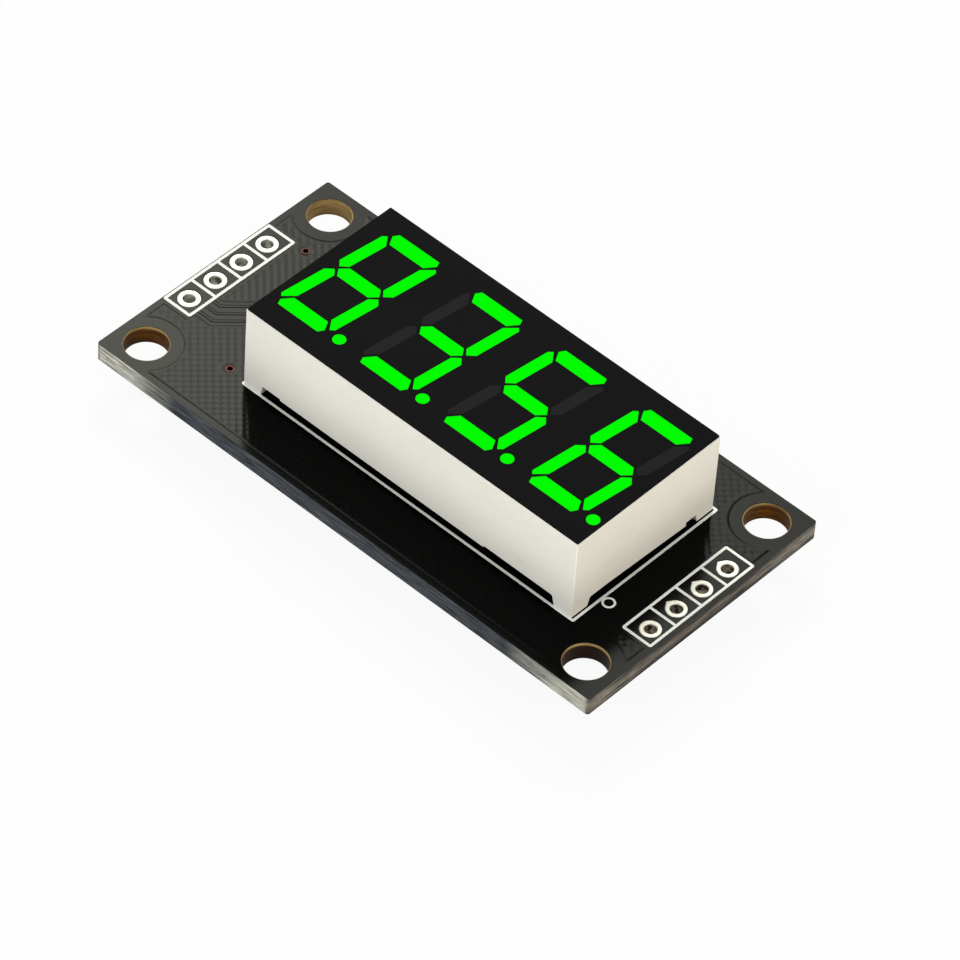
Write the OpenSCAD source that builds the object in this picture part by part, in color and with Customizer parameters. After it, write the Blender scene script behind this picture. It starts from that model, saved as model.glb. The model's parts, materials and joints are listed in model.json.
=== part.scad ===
// Seven segment display module: a four digit display on a small circuit board.
// Sizes are in millimetres. The origin is the centre of the mounting holes, on the
// top face of the bare laminate. +X runs along the row of digits, +Y points to the
// tops of the digits, and +Z points out of the display's face.

/* [Circuit board] */
// Length of the board
board_l = 45.2; // [44.5:0.1:60]
// Width of the board
board_w = 22.6; // [21.5:0.1:30]
// Thickness of the bare laminate
board_t = 1.44; // [0.8:0.02:2]
// Thickness of the black lacquer on each side
mask_t = 0.03; // [0.02:0.01:0.05]
// Diameter of the four mounting holes
hole_d = 3.2; // [2.2:0.1:3.5]
// Distance from the board's end to a mounting hole's centre
hole_inset_x = 2.4; // [2.2:0.05:3]
// Distance from the board's long edge to a mounting hole's centre
hole_inset_y = 2.35; // [2.2:0.05:2.6]
// Width of the bare ring that the lacquer leaves round a mounting hole
bare_ring = 0.05; // [0.05:0.01:0.3]

/* [Plated holes] */
// Thickness of the tinned copper on a land
land_t = 0.05; // [0.04:0.01:0.1]
// Thickness of the plating in a hole, copper and tin together
plate_t = 0.03; // [0.02:0.01:0.06]
// Bare strip between a land and the lacquer
land_gap = 0.05; // [0.03:0.01:0.1]
// Finished diameter of a header hole
header_hole_d = 0.9; // [0.9:0.01:1.1]
// Distance between header holes
header_pitch = 2.54; // [2.3:0.01:2.6]
// Number of holes in a header row
header_count = 4; // [2:1:4]
// Distance from the board's end to a header row
header_inset = 1.37; // [1.3:0.01:1.6]
// Diameter of the lands in the left row
left_land_d = 1.64; // [1.4:0.02:1.9]
// Diameter of the lands in the right row
right_land_d = 1.52; // [1.4:0.02:1.9]
// How far a teardrop reaches out of a land, where a track leaves it
drop_l = 0.14; // [0.08:0.02:0.2]
// Finished diameter of a via's hole
via_hole_d = 0.4; // [0.3:0.02:0.5]
// Diameter of a via's ring
via_ring_d = 0.66; // [0.6:0.02:0.8]

/* [Screen print] */
// Thickness of the white ink
print_t = 0.02; // [0.01:0.01:0.04]
// Width of the box round a header row, between the middles of its lines
header_box_w = 2.36; // [2.3:0.02:2.48]
// Width of the lines round the left header row
left_line = 0.23; // [0.15:0.01:0.3]
// Width of the lines round the right header row
right_line = 0.2; // [0.15:0.01:0.3]
// Width of the display's outline
outline_line = 0.2; // [0.15:0.01:0.25]
// Distance from the housing to the middle of the outline
outline_gap = 0.1; // [0.02:0.01:0.2]
// Outer diameter of the ring that marks the first pin
mark_d = 0.98; // [0.7:0.02:1.2]
// Width of the ring's line
mark_line = 0.16; // [0.1:0.01:0.2]
// Radius of the boxes' outer corners
print_r = 0.16; // [0.05:0.01:0.2]

/* [Display housing] */
// Place of the display's centre along the board
display_x = 1.98; // [0:0.02:2.4]
// Place of the display's centre across the board
display_y = 0.12; // [-0.5:0.02:0.5]
// Length of the housing
display_l = 30; // [29.8:0.1:31]
// Width of the housing
display_w = 14; // [13.6:0.1:14.6]
// Height from the feet to the face
display_h = 7.1; // [6.5:0.1:9]
// Thickness of the skirt's wall
wall_t = 0.9; // [0.7:0.05:1]
// Length of a foot along the long walls
foot_l = 1.75; // [1.2:0.05:2.5]
// Length of a foot along the end walls
foot_w = 1.75; // [1.2:0.05:2.5]
// Height of the slot under the walls, between the feet
slot_h = 0.7; // [0.45:0.02:0.8]
// Height of the reliefs at the ends of a long wall's slot
relief_h = 0.84; // [0.8:0.02:0.9]
// Length of the relief at the left end
relief_left = 1.6; // [0.8:0.1:4]
// Length of the relief at the right end
relief_right = 6.2; // [1:0.1:9]
// Height of the slot where an end wall hangs lowest
lip_h = 0.36; // [0.2:0.02:0.44]
// Distance from the front foot to where an end wall's edge starts to sag
sag_front = 1.7; // [1:0.1:3]
// Distance from the back foot to where that edge ends
sag_back = 0.95; // [0.5:0.05:2]
// Slope of a slot's ends, as the run over their height
slot_draft = 0.16; // [0.02:0.02:0.3]
// Radius of the slots' inner corners
slot_r = 0.18; // [0.05:0.01:0.2]

/* [Face and digits] */
// Thickness of the black film on the face
face_t = 0.1; // [0.05:0.01:0.2]
// White margin round the film
face_margin = 0.05; // [0.05:0.01:0.3]
// Corner radius of the film
face_r = 0.1; // [0.05:0.05:0.6]
// Number of digits
digit_count = 4; // [1:1:4]
// Distance from the display's end to the first digit's middle
digit_margin = 3.57; // [3.51:0.01:4]
// Room between neighbouring digits
digit_space = 2.62; // [2.56:0.02:3.2]
// Height of a digit
digit_h = 10.6; // [8.6:0.1:11]
// Height of the digits' middle above the display's middle
digit_rise = 0.14; // [0:0.02:0.3]
// Slant of the digits in degrees
digit_slant = 6.5; // [0:0.5:8]
// Width of the upright bars
upright_w = 0.93; // [0.6:0.01:1.1]
// Width of the level bars at the top and the bottom
level_w = 1.18; // [0.8:0.02:1.3]
// Width of the middle bar
middle_w = 1.14; // [0.8:0.02:1.3]
// Gap between neighbouring bars
bar_gap = 0.28; // [0.08:0.01:0.32]
// Diameter of a decimal point
dot_d = 0.96; // [0.6:0.02:1.04]
// Distance from a digit's right edge to the middle of its decimal point
dot_out = 0.27; // [0.21:0.01:0.45]
// Height of a decimal point's middle above the digit's foot
dot_rise = 0.52; // [0.48:0.02:0.8]
// Depth of the straight mouth of a light well
mouth_h = 0.5; // [0.2:0.05:1]
// Share of a bar's length that is left at the foot of its well
well_length_share = 0.36; // [0.25:0.01:0.6]
// Share of a bar's width that is left at the foot of its well
well_width_share = 0.7; // [0.6:0.01:0.9]
// Depth of a light well, from the face to the chip board
well_h = 4.45; // [4:0.05:4.6]

/* [Inside the display] */
// Thickness of the board that carries the light chips
carrier_t = 0.8; // [0.6:0.05:0.9]
// Gap between that board and the skirt
carrier_gap = 0.05; // [0.02:0.01:0.1]
// Thickness of the resin that closes the back
seal_t = 0.9; // [0.5:0.05:0.92]
// Side of a light chip
die_w = 0.26; // [0.2:0.01:0.32]
// Height of a light chip
die_h = 0.14; // [0.1:0.01:0.2]

/* [Display pins] */
// Diameter of a pin
pin_d = 0.5; // [0.4:0.01:0.6]
// Number of pins in a row
pin_count = 6; // [4:1:6]
// Distance between pins
pin_pitch = 2.54; // [2.3:0.01:2.6]
// Distance between the two rows
pin_rows = 10.16; // [9.8:0.02:10.4]
// How far a pin stands out under the board
pin_stub = 2.4; // [1.4:0.02:2.42]
// Finished diameter of a pin's hole
pin_hole_d = 0.9; // [0.8:0.01:1]
// Width of a pin's long land
pin_land_w = 1.6; // [1.4:0.05:1.9]
// Length of a pin's long land
pin_land_l = 3.1; // [2.4:0.05:3.2]
// Height of the solder cone on a pin
cone_h = 1.1; // [0.6:0.05:1.25]
// Thickness of the solder round a pin at the cone's tip
cone_tip = 0.07; // [0.04:0.01:0.1]
// Thickness of the solder that coats a land
coat_t = 0.05; // [0.03:0.01:0.1]

/* [Driver chip] */
// Share of the free room beside the driver that lies at the header's side
driver_share = 0.62; // [0.5:0.01:0.7]
// Width of the driver's body
driver_w = 7.5; // [7:0.05:7.6]
// Length of the driver's body
driver_l = 12.8; // [12.6:0.05:13.2]
// Height of the driver's body
driver_h = 2.3; // [2:0.05:2.5]
// Gap between the driver's body and its lands
driver_lift = 0.1; // [0.05:0.01:0.2]
// Number of leads on a side
lead_count = 10; // [6:1:10]
// Distance between leads
lead_pitch = 1.27; // [1.2:0.01:1.27]
// Distance between the tips of opposite leads
lead_span = 10.3; // [10.1:0.05:10.6]
// Width of a lead
lead_w = 0.42; // [0.3:0.01:0.5]
// Thickness of a lead
lead_t = 0.25; // [0.15:0.01:0.28]
// Inner radius of a lead's bends
lead_r = 0.15; // [0.1:0.01:0.18]
// Width of a lead's land
lead_land_w = 0.6; // [0.5:0.02:0.7]
// How far a lead's land reaches past the tip
lead_land_out = 0.4; // [0.3:0.02:0.5]
// Diameter of the dimple that marks the first lead
dimple_d = 1.1; // [0.8:0.05:1.4]
// Depth of the dimple
dimple_h = 0.08; // [0.04:0.01:0.15]

/* [Chip parts] */
// Length of a small chip part
chip_l = 1.6; // [1.5:0.05:1.7]
// Width of a small chip part
chip_w = 0.8; // [0.7:0.05:0.9]
// Height of a resistor
resistor_h = 0.45; // [0.35:0.01:0.6]
// Height of a small capacitor
capacitor_h = 0.8; // [0.6:0.02:0.9]
// Length of the large capacitor
bulk_l = 3.2; // [3:0.05:3.4]
// Width and height of the large capacitor
bulk_w = 1.6; // [1.4:0.05:1.8]
// How far an end cap wraps round its part
cap_wrap = 0.3; // [0.2:0.01:0.4]
// Thickness of an end cap's metal
cap_t = 0.03; // [0.02:0.01:0.05]
// How far a chip part's land reaches past its end
chip_land_out = 0.4; // [0.25:0.01:0.5]

/* [Fits] */
// Clearance where one piece is soldered, pressed or cast into another
seat_gap = 0.01; // [0.005:0.001:0.015]

/* [Hidden] */
$fn = 48;
// Numerals that the digits show, and the bars that each numeral lights
SHOWN = [8, 3, 5, 6];
LIT_BARS = ["abcdef", "bc", "abdeg", "abcdg", "bcfg", "acdfg", "acdefg", "abc", "abcdefg", "abcdfg"];
BARS = "abcdefg";

// How far a cut runs past the solid that it cuts
over = 1;
// Steps in a drawn arc
arc_steps = 6;

hole_x = board_l / 2 - hole_inset_x;
hole_y = board_w / 2 - hole_inset_y;
header_x = board_l / 2 - header_inset;
// Lands with a teardrop, from the lowest up: 1 points to +X and -1 to -X
left_drops = [0, 0, 0, 0];
right_drops = [0, -1, -1, -1];
// How far a teardrop's root lies inside its land
drop_root = 0.02;
// Print that lies a little off its lands
left_print_shift = [0, 0.12];
right_print_shift = [-0.16, 0.11];
outline_shift = [0.11, 0.04];
// The mark's middle, right of the housing's end and below its middle
mark_out = 0.79;
mark_drop = 4.2;

HOLES = [for (x = [-hole_x, hole_x]) for (y = [-hole_y, hole_y]) [x, y]];
PINS = [for (row = [-1, 1]) for (i = [0 : pin_count - 1])
    [display_x + centred(i, pin_count) * pin_pitch, display_y + row * pin_rows / 2]];

// Heights in the display, above its feet
seat_z = mask_t + print_t;
face_z = display_h - face_t;
well_z = display_h - well_h;
carrier_z = well_z - carrier_t;
seal_z = carrier_z - seal_t;
inner_l = display_l - 2 * wall_t;
inner_w = display_w - 2 * wall_t;

// Sizes of a digit
digit_pitch = (display_l - 2 * digit_margin) / max(digit_count - 1, 1);
half_w = (digit_pitch - digit_space) / 2;
half_h = digit_h / 2;
dot_x = half_w + dot_out;
dot_y = half_h - dot_rise;
// Where the corner cut starts on the level bar and on the upright bar
cut_x = 0.66;
cut_y = 0.93;
// Where the mitre between a level and an upright bar meets that cut
mitre_x = 0.355;
mitre_y = 0.56;
// How far the mitre's gap draws each bar back, along X and along Y
mitre_back = [bar_gap / 3, 0.43 * bar_gap];
// How far an upright bar's pointed end stays off the digit's middle line
upright_back = 0.7 * bar_gap;

// Heights under the board, measured down from the laminate
driver_z = land_t + driver_lift;
lead_z = driver_z + driver_h / 2;
band_over = 0.03;
driver_band = lead_t + 2 * band_over;
driver_draft = 0.14;
// Angle at which the solder at a lead's heel starts, past the outermost point of the bend
heel_angle = 190;
// Heights of the solder at a lead's toe and at its knee, and the knee's place, as shares
toe_rise = 0.9;
knee_rise = 0.3;
knee_out = 0.4;
// The same for the solder that climbs a chip part's end
climb = 0.7;
climb_knee = 0.4;
climb_out = 0.25;
shoulder_l = 0.2;
heel_out = 0.2;
solder_line = 0.02;
// How much wider a chip part's land is than its part, as a share of the land's reach
chip_land_more = 0.5;

// The driver's lands, and its place between the left header row and the display's pins
lead_root = driver_w / 2;
lead_bend = lead_root + shoulder_l;
lead_foot = lead_bend + 2 * lead_r + lead_t;
lead_reach = lead_span / 2 + lead_land_out;
pins_reach = centred(pin_count - 1, pin_count) * pin_pitch + pin_land_w / 2;
driver_from = left_land_d / 2 + drop_l - header_x;
driver_room = display_x - pins_reach - driver_from - 2 * lead_reach;
driver_x = driver_from + driver_share * driver_room + lead_reach;
// The vias lie left of the driver's lands, one beside its first lead and one past its corner
via_out = [1.11, 3.19];
via_y = [5.24, -6.58];
VIAS = [
    [driver_x - lead_reach - via_out[0], via_y[0]],
    [driver_x - lead_reach + via_out[1], via_y[1]]];

// Two columns of chip parts between the display's pins and the right header row, with
// the places of their middles as shares of that room
chip_from = display_x + pins_reach;
chip_room = header_x - right_land_d / 2 - drop_l - chip_from;
chip_shares = [0.31, 0.67];
chip_columns = [for (share = chip_shares) chip_from + share * chip_room];
chip_row = 2.54;
bulk_rows = 1.7;
RESISTORS = [[chip_columns[0], chip_row], [chip_columns[0], 0]];
CAPACITORS = [[chip_columns[0], -chip_row], [chip_columns[1], chip_row], [chip_columns[1], 0]];
BULK = [chip_columns[1], -bulk_rows * chip_row];

PIECES_BEFORE = ["laminate", "solder_mask_top", "solder_mask_bottom", "screen_print",
    "header_lands_left", "header_lands_right", "display_pin_lands", "vias",
    "display_housing", "display_face"];
PIECES_AFTER = ["display_carrier_board", "light_chips", "display_back_seal", "display_pins",
    "display_pin_joints", "driver_body", "driver_leads", "driver_joints", "resistor_bodies",
    "resistor_glazes", "resistor_end_caps", "capacitor_bodies", "capacitor_end_caps",
    "chip_part_joints"];

function bar_name(d, bar) = str("digit_", d, "_segment_", bar);
function dot_name(d) = str("digit_", d, "_decimal_point");
function is_lit(d, bar) = len(search(bar, LIT_BARS[SHOWN[d - 1]])) > 0;

// Place of copy i in a row of n copies that is centred on zero
function centred(i, n) = i - (n - 1) / 2;
function arc(centre, r, from, to) = [for (i = [0 : arc_steps])
    let (angle = from + (to - from) * i / arc_steps) centre + r * [cos(angle), sin(angle)]];
function header_row(side) = [for (i = [0 : header_count - 1])
    [side * header_x, centred(i, header_count) * header_pitch]];
function digit_centre(d) = [centred(d - 1, digit_count) * digit_pitch, digit_rise];
function slanted(p) = [p.x + p.y * tan(digit_slant), p.y];
function mirrored(points, sx, sy) = [for (p = points) [p.x * sx, p.y * sy]];

// Outlines of the level bar at the top, the upright bar at the upper right and the middle bar
function level_bar() = let (right = [
        [half_w - cut_x, half_h],
        [half_w - mitre_x - mitre_back.x, half_h - mitre_y + mitre_back.y],
        [half_w - upright_w, half_h - level_w]])
    concat(right, [for (i = [2 : -1 : 0]) [-right[i].x, right[i].y]]);
function upright_bar() = let (shoulder = upright_back + upright_w / 2) [
    [half_w - mitre_x + mitre_back.x, half_h - mitre_y - mitre_back.y],
    [half_w, half_h - cut_y],
    [half_w, shoulder],
    [half_w - upright_w / 2, upright_back],
    [half_w - upright_w, shoulder],
    [half_w - upright_w, half_h - level_w - bar_gap]];
function middle_bar() = let (tip = half_w - (upright_w + bar_gap) / 2, flat = tip - upright_w / 2) [
    [tip, 0], [flat, middle_w / 2], [-flat, middle_w / 2],
    [-tip, 0], [-flat, -middle_w / 2], [flat, -middle_w / 2]];
function bar_outline(bar) =
    bar == "a" ? level_bar() :
    bar == "b" ? upright_bar() :
    bar == "c" ? mirrored(upright_bar(), 1, -1) :
    bar == "d" ? mirrored(level_bar(), 1, -1) :
    bar == "e" ? mirrored(upright_bar(), -1, -1) :
    bar == "f" ? mirrored(upright_bar(), -1, 1) :
    middle_bar();
function is_level(bar) = bar == "a" || bar == "d" || bar == "g";

// Middle and size of the box round a list of points
function low(points, axis) = min([for (p = points) p[axis]]);
function high(points, axis) = max([for (p = points) p[axis]]);
function box_middle(points) = [for (axis = [0, 1]) (low(points, axis) + high(points, axis)) / 2];
function box_size(points) = [for (axis = [0, 1]) high(points, axis) - low(points, axis)];

// Twice the area that a list of points runs round, positive when it runs anticlockwise
function turned_area(points) = let (n = len(points))
    [for (p = points) 1] * [for (i = [0 : n - 1]) cross(points[i], points[(i + 1) % n])];
function anticlockwise(points) = turned_area(points) > 0 ? points :
    [for (i = [len(points) - 1 : -1 : 0]) points[i]];

// A bar's slanted outline about its own middle, drawn in by gap on every side
function bar_shape(bar, gap) = let (
        points = anticlockwise([for (p = bar_outline(bar)) slanted(p)]),
        middle = box_middle(points),
        size = box_size(points))
    [for (p = points) [for (axis = [0, 1]) (p[axis] - middle[axis]) * (1 - 2 * gap / size[axis])]];
function bar_place(d, bar) = digit_centre(d) + box_middle([for (p = bar_outline(bar)) slanted(p)]);
function dot_place(d) = digit_centre(d) + [dot_x, -dot_y];

module slab(l, w, z, t) {
    translate([-l / 2, -w / 2, z]) cube([l, w, t]);
}

module drill(places, d) {
    for (p = places) translate([p.x, p.y, -board_t - over]) cylinder(d = d, h = board_t + 2 * over);
}

// A strip with half round ends, long way along Y
module obround(w, l) {
    straight = l - w;
    square([w, straight], center = true);
    for (y = [-straight / 2, straight / 2]) translate([0, y]) circle(d = w);
}

// A round land, with a teardrop where drop is 1 or -1
module round_land(d, drop, grow = 0) {
    r = d / 2 + grow;
    tip = r + drop_l;
    touch = acos(r / tip);
    root = r - drop_root;
    circle(r = r);
    if (drop != 0) scale([drop, 1]) polygon([
        [root * cos(touch), -root * sin(touch)],
        [tip, 0],
        [root * cos(touch), root * sin(touch)]]);
}

// Lands on both faces, joined by the plating of their hole
module plated_hole(hole_d) {
    difference() {
        union() {
            translate([0, 0, -board_t]) cylinder(d = hole_d + 2 * plate_t, h = board_t);
            for (z = [-board_t - land_t, 0]) translate([0, 0, z]) linear_extrude(land_t) children();
        }
        translate([0, 0, -board_t - over]) cylinder(d = hole_d, h = board_t + 2 * over);
    }
}

function drilled_d(hole_d) = hole_d + 2 * (plate_t + seat_gap);

module laminate() {
    color("#9c9d88") difference() {
        slab(board_l, board_w, -board_t, board_t);
        drill(HOLES, hole_d);
        drill(header_row(-1), drilled_d(header_hole_d));
        drill(header_row(1), drilled_d(header_hole_d));
        drill(PINS, drilled_d(pin_hole_d));
        drill(VIAS, drilled_d(via_hole_d));
    }
}

// The black lacquer on one face, open at the holes and lands
module solder_mask(z) {
    color("#1d1d1b") difference() {
        slab(board_l, board_w, z, mask_t);
        drill(HOLES, hole_d + 2 * bare_ring);
        drill(VIAS, via_ring_d + 2 * land_gap);
        translate([0, 0, z - over]) linear_extrude(mask_t + 2 * over) {
            header_openings(-1, left_land_d, left_drops);
            header_openings(1, right_land_d, right_drops);
            for (p = PINS) translate(p) obround(pin_land_w + 2 * land_gap, pin_land_l + 2 * land_gap);
        }
        children();
    }
}

module header_openings(side, d, drops) {
    row = header_row(side);
    for (i = [0 : header_count - 1]) translate(row[i]) round_land(d, drops[i], land_gap);
}

module solder_mask_top() {
    solder_mask(0);
}

module solder_mask_bottom() {
    solder_mask(-board_t - mask_t) underside() linear_extrude(over) {
        for (side = [-1, 1]) lead_lands(side, land_gap);
        for (p = concat(RESISTORS, CAPACITORS)) chip_lands(p, chip_l, chip_w, land_gap);
        chip_lands(BULK, bulk_l, bulk_w, land_gap);
    }
}

// Turns a piece over, with its Z pointing down from the laminate's underside
module underside() {
    translate([0, 0, -board_t]) mirror([0, 0, 1]) children();
}

// A rectangle with round corners
module rounded(l, w, r) {
    x = l / 2 - r;
    y = w / 2 - r;
    polygon(concat(
        arc([x, y], r, 0, 90), arc([-x, y], r, 90, 180),
        arc([-x, -y], r, 180, 270), arc([x, -y], r, 270, 360)));
}

module line_frame(l, w, line) {
    difference() {
        rounded(l + line, w + line, print_r);
        square([l - line, w - line], center = true);
    }
}

// A box round a header row, with a line between each two holes
module header_box(side, line, shift) {
    row_l = header_count * header_pitch;
    translate([side * header_x, 0] + shift) {
        line_frame(header_box_w, row_l, line);
        for (i = [1 : header_count - 1])
            translate([0, centred(i, header_count + 1) * header_pitch])
                square([header_box_w, line], center = true);
    }
}

// White print, which leaves the openings of the lacquer free
module screen_print() {
    color("#f0f5f0") translate([0, 0, mask_t]) linear_extrude(print_t) difference() {
        union() {
            header_box(-1, left_line, left_print_shift);
            header_box(1, right_line, right_print_shift);
            translate([display_x, display_y]) {
                translate(outline_shift)
                    line_frame(display_l + 2 * outline_gap, display_w + 2 * outline_gap, outline_line);
                translate([display_l / 2 + mark_out, -mark_drop]) difference() {
                    circle(d = mark_d);
                    circle(d = mark_d - 2 * mark_line);
                }
            }
        }
        header_openings(-1, left_land_d, left_drops);
        header_openings(1, right_land_d, right_drops);
        for (p = VIAS) translate(p) circle(d = via_ring_d + 2 * land_gap);
    }
}

module header_lands(side, d, drops) {
    row = header_row(side);
    color("#f4f4ec") for (i = [0 : header_count - 1])
        translate(row[i]) plated_hole(header_hole_d) round_land(d, drops[i]);
}

module header_lands_left() {
    header_lands(-1, left_land_d, left_drops);
}

module header_lands_right() {
    header_lands(1, right_land_d, right_drops);
}

module display_pin_lands() {
    color("#f4f4ec") for (p = PINS) translate(p) plated_hole(pin_hole_d) obround(pin_land_w, pin_land_l);
}

module vias() {
    color("#8a5c58") for (p = VIAS) translate(p) plated_hole(via_hole_d) circle(d = via_ring_d);
}

module at_display() {
    translate([display_x, display_y, seat_z]) children();
}

// The slot under a long wall, seen from the front, with a relief at each end
module long_slot() {
    x = display_l / 2 - foot_l;
    polygon(concat(
        [[-x - slot_draft, -over], [-x - slot_draft, 0], [-x, relief_h]],
        [[relief_left - x, relief_h], [relief_left - x, slot_h]],
        [[x - relief_right, slot_h], [x - relief_right, relief_h]],
        arc([x - slot_r, relief_h - slot_r], slot_r, 90, 0),
        [[x + slot_draft, 0], [x + slot_draft, -over]]));
}

// The slot under an end wall, whose edge sags towards the back
module end_slot() {
    y = display_w / 2 - foot_w;
    sag_from = -y + sag_front;
    sag_to = y - sag_back;
    polygon(concat(
        [[-y - slot_draft, -over], [-y - slot_draft, 0]],
        arc([-y + slot_r, slot_h - slot_r], slot_r, 180, 90),
        [[sag_from, slot_h], [sag_to, lip_h], [sag_to, slot_h], [y, slot_h]],
        [[y + slot_draft, 0], [y + slot_draft, -over]]));
}

// A funnel between an outline at the height top and its smaller copy at the height foot
module funnel(outline, share, foot, top) {
    n = len(outline);
    rim = [for (p = outline) [p.x, p.y, top]];
    base = [for (p = outline) [p.x * share.x, p.y * share.y, foot]];
    sides = [for (i = [0 : n - 1]) let (next = (i + 1) % n) each [[i, next, n + next], [i, n + next, n + i]]];
    polyhedron(
        points = concat(rim, base),
        faces = concat([[for (i = [n - 1 : -1 : 0]) i]], sides, [[for (i = [0 : n - 1]) n + i]]));
}

// A bar's light well: a straight mouth through the film and a funnel down to its light chip
module bar_well(bar, gap, top_z) {
    share = is_level(bar) ? [well_length_share, well_width_share] : [well_width_share, well_length_share];
    mouth_z = display_h - mouth_h;
    translate([0, 0, mouth_z]) linear_extrude(top_z - mouth_z) polygon(bar_shape(bar, gap));
    funnel(bar_shape(bar, gap), share, well_z, mouth_z);
}

module dot_well(gap, top_z) {
    mouth_z = display_h - mouth_h;
    r = dot_d / 2 - gap;
    translate([0, 0, mouth_z]) cylinder(r = r, h = top_z - mouth_z);
    translate([0, 0, well_z]) cylinder(r1 = r * well_width_share, r2 = r, h = mouth_z - well_z);
}

// Moulded white reflector with its skirt, four feet and one light well for each bar and point
module display_housing() {
    color("#e2e1d8") at_display() difference() {
        slab(display_l, display_w, 0, face_z);
        slab(inner_l, inner_w, -over, well_z + over);
        translate([0, display_w / 2 + over, 0]) rotate([90, 0, 0])
            linear_extrude(display_w + 2 * over) long_slot();
        translate([-display_l / 2 - over, 0, 0]) rotate([90, 0, 90])
            linear_extrude(display_l + 2 * over) end_slot();
        for (d = [1 : digit_count]) {
            for (bar = BARS) translate(bar_place(d, bar)) bar_well(bar, 0, face_z + over);
            translate(dot_place(d)) dot_well(0, face_z + over);
        }
    }
}

// Black film on the face, cut out at every bar and point
module display_face() {
    color("#1b1b1d") at_display() translate([0, 0, face_z]) linear_extrude(face_t) difference() {
        rounded(display_l - 2 * face_margin, display_w - 2 * face_margin, face_r);
        for (d = [1 : digit_count]) {
            for (bar = BARS) translate(bar_place(d, bar)) polygon(bar_shape(bar, 0));
            translate(dot_place(d)) circle(d = dot_d);
        }
    }
}

// The pocket that a light chip leaves in the resin above it
module die_pocket() {
    w = die_w + 2 * seat_gap;
    slab(w, w, well_z - over, over + die_h + seat_gap);
}

module segment_window(d, bar) {
    color(is_lit(d, bar) ? "#00ff00" : "#2d2d2f") at_display() translate(bar_place(d, bar)) difference() {
        bar_well(bar, seat_gap, display_h);
        die_pocket();
    }
}

module decimal_point(d) {
    color("#00ff00") at_display() translate(dot_place(d)) difference() {
        dot_well(seat_gap, display_h);
        die_pocket();
    }
}

module display_carrier_board() {
    color("#3c5a32") difference() {
        at_display() slab(inner_l - 2 * carrier_gap, inner_w - 2 * carrier_gap, carrier_z, carrier_t);
        for (p = PINS) translate([p.x, p.y, 0]) cylinder(d = pin_d + 2 * seat_gap, h = display_h);
    }
}

module light_chips() {
    color("#d8d8a0") at_display() for (d = [1 : digit_count]) {
        for (bar = BARS) translate(bar_place(d, bar)) slab(die_w, die_w, well_z, die_h);
        translate(dot_place(d)) slab(die_w, die_w, well_z, die_h);
    }
}

module display_back_seal() {
    color("#d9d3c0") difference() {
        at_display() slab(inner_l - 2 * seat_gap, inner_w - 2 * seat_gap, seal_z, seal_t);
        for (p = PINS) translate([p.x, p.y, 0]) cylinder(d = pin_d + 2 * seat_gap, h = display_h);
    }
}

module display_pins() {
    foot_z = -board_t - mask_t - pin_stub;
    color("#c8c8c4") for (p = PINS)
        translate([p.x, p.y, foot_z]) cylinder(d = pin_d, h = seat_z + well_z - foot_z);
}

// Solder that fills a pin's hole, coats its land and climbs the pin in a hollow cone
module display_pin_joints() {
    foot_r = pin_land_w / 2 - land_gap;
    tip_r = pin_d / 2 + cone_tip;
    coat_z = land_t + coat_t;
    cone = [for (i = [0 : arc_steps]) let (angle = 90 * i / arc_steps)
        [foot_r - (foot_r - tip_r) * cos(angle), coat_z + cone_h * (1 - sin(angle))]];
    color("#cfd0cc") for (p = PINS) translate(p) difference() {
        underside() {
            translate([0, 0, -board_t]) cylinder(d = pin_hole_d - 2 * seat_gap, h = board_t + coat_z);
            translate([0, 0, land_t]) linear_extrude(coat_t) obround(2 * foot_r, pin_land_l - 2 * land_gap);
            rotate_extrude() polygon(concat([[0, coat_z + cone_h]], cone, [[0, coat_z]]));
        }
        translate([0, 0, -board_t - 2 * cone_h])
            cylinder(d = pin_d + 2 * seat_gap, h = 2 * (board_t + 2 * cone_h));
    }
}

// The driver's moulded body: flat band at the leads, sides drawn in above and below it
module driver_section(w, l) {
    band = [lead_z - driver_band / 2, lead_z + driver_band / 2];
    half = w / 2;
    translate([0, l / 2, 0]) rotate([90, 0, 0]) linear_extrude(l) polygon([
        [-half + driver_draft, driver_z], [half - driver_draft, driver_z],
        [half, band[0]], [half, band[1]],
        [half - driver_draft, driver_z + driver_h], [-half + driver_draft, driver_z + driver_h],
        [-half, band[1]], [-half, band[0]]]);
}

module driver_body() {
    mark = [driver_w / 2 - dimple_d, driver_l / 2 - dimple_d];
    color("#1c1c1e") translate([driver_x, 0, 0]) underside() difference() {
        intersection() {
            driver_section(driver_w, driver_l);
            rotate(90) driver_section(driver_l, driver_w);
        }
        translate([-mark.x, mark.y, driver_z + driver_h - dimple_h]) cylinder(d = dimple_d, h = over);
    }
}

function lead_places() = [for (i = [0 : lead_count - 1]) centred(i, lead_count) * lead_pitch];

// A gull wing lead seen from its edge, on the +X side
module lead_profile() {
    outer = lead_r + lead_t;
    top = [lead_bend, lead_z - lead_t / 2 - lead_r];
    foot = [lead_foot, land_t + outer];
    tip = lead_span / 2;
    polygon(concat(
        [[lead_root, lead_z - lead_t / 2]],
        arc(top, lead_r, 90, 0),
        arc(foot, outer, 180, 270),
        [[tip, land_t], [tip, land_t + lead_t]],
        arc(foot, lead_r, 270, 180),
        arc(top, outer, 0, 90),
        [[lead_root, lead_z + lead_t / 2]]));
}

// Copies a lead's piece along both sides of the driver
module along_driver() {
    translate([driver_x, 0, 0]) underside() for (side = [0, 1]) mirror([side, 0, 0])
        for (y = lead_places()) translate([0, y, 0]) children();
}

module driver_leads() {
    color("#d0d0cc") along_driver() translate([0, lead_w / 2, 0]) rotate([90, 0, 0])
        linear_extrude(lead_w) lead_profile();
}

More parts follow.
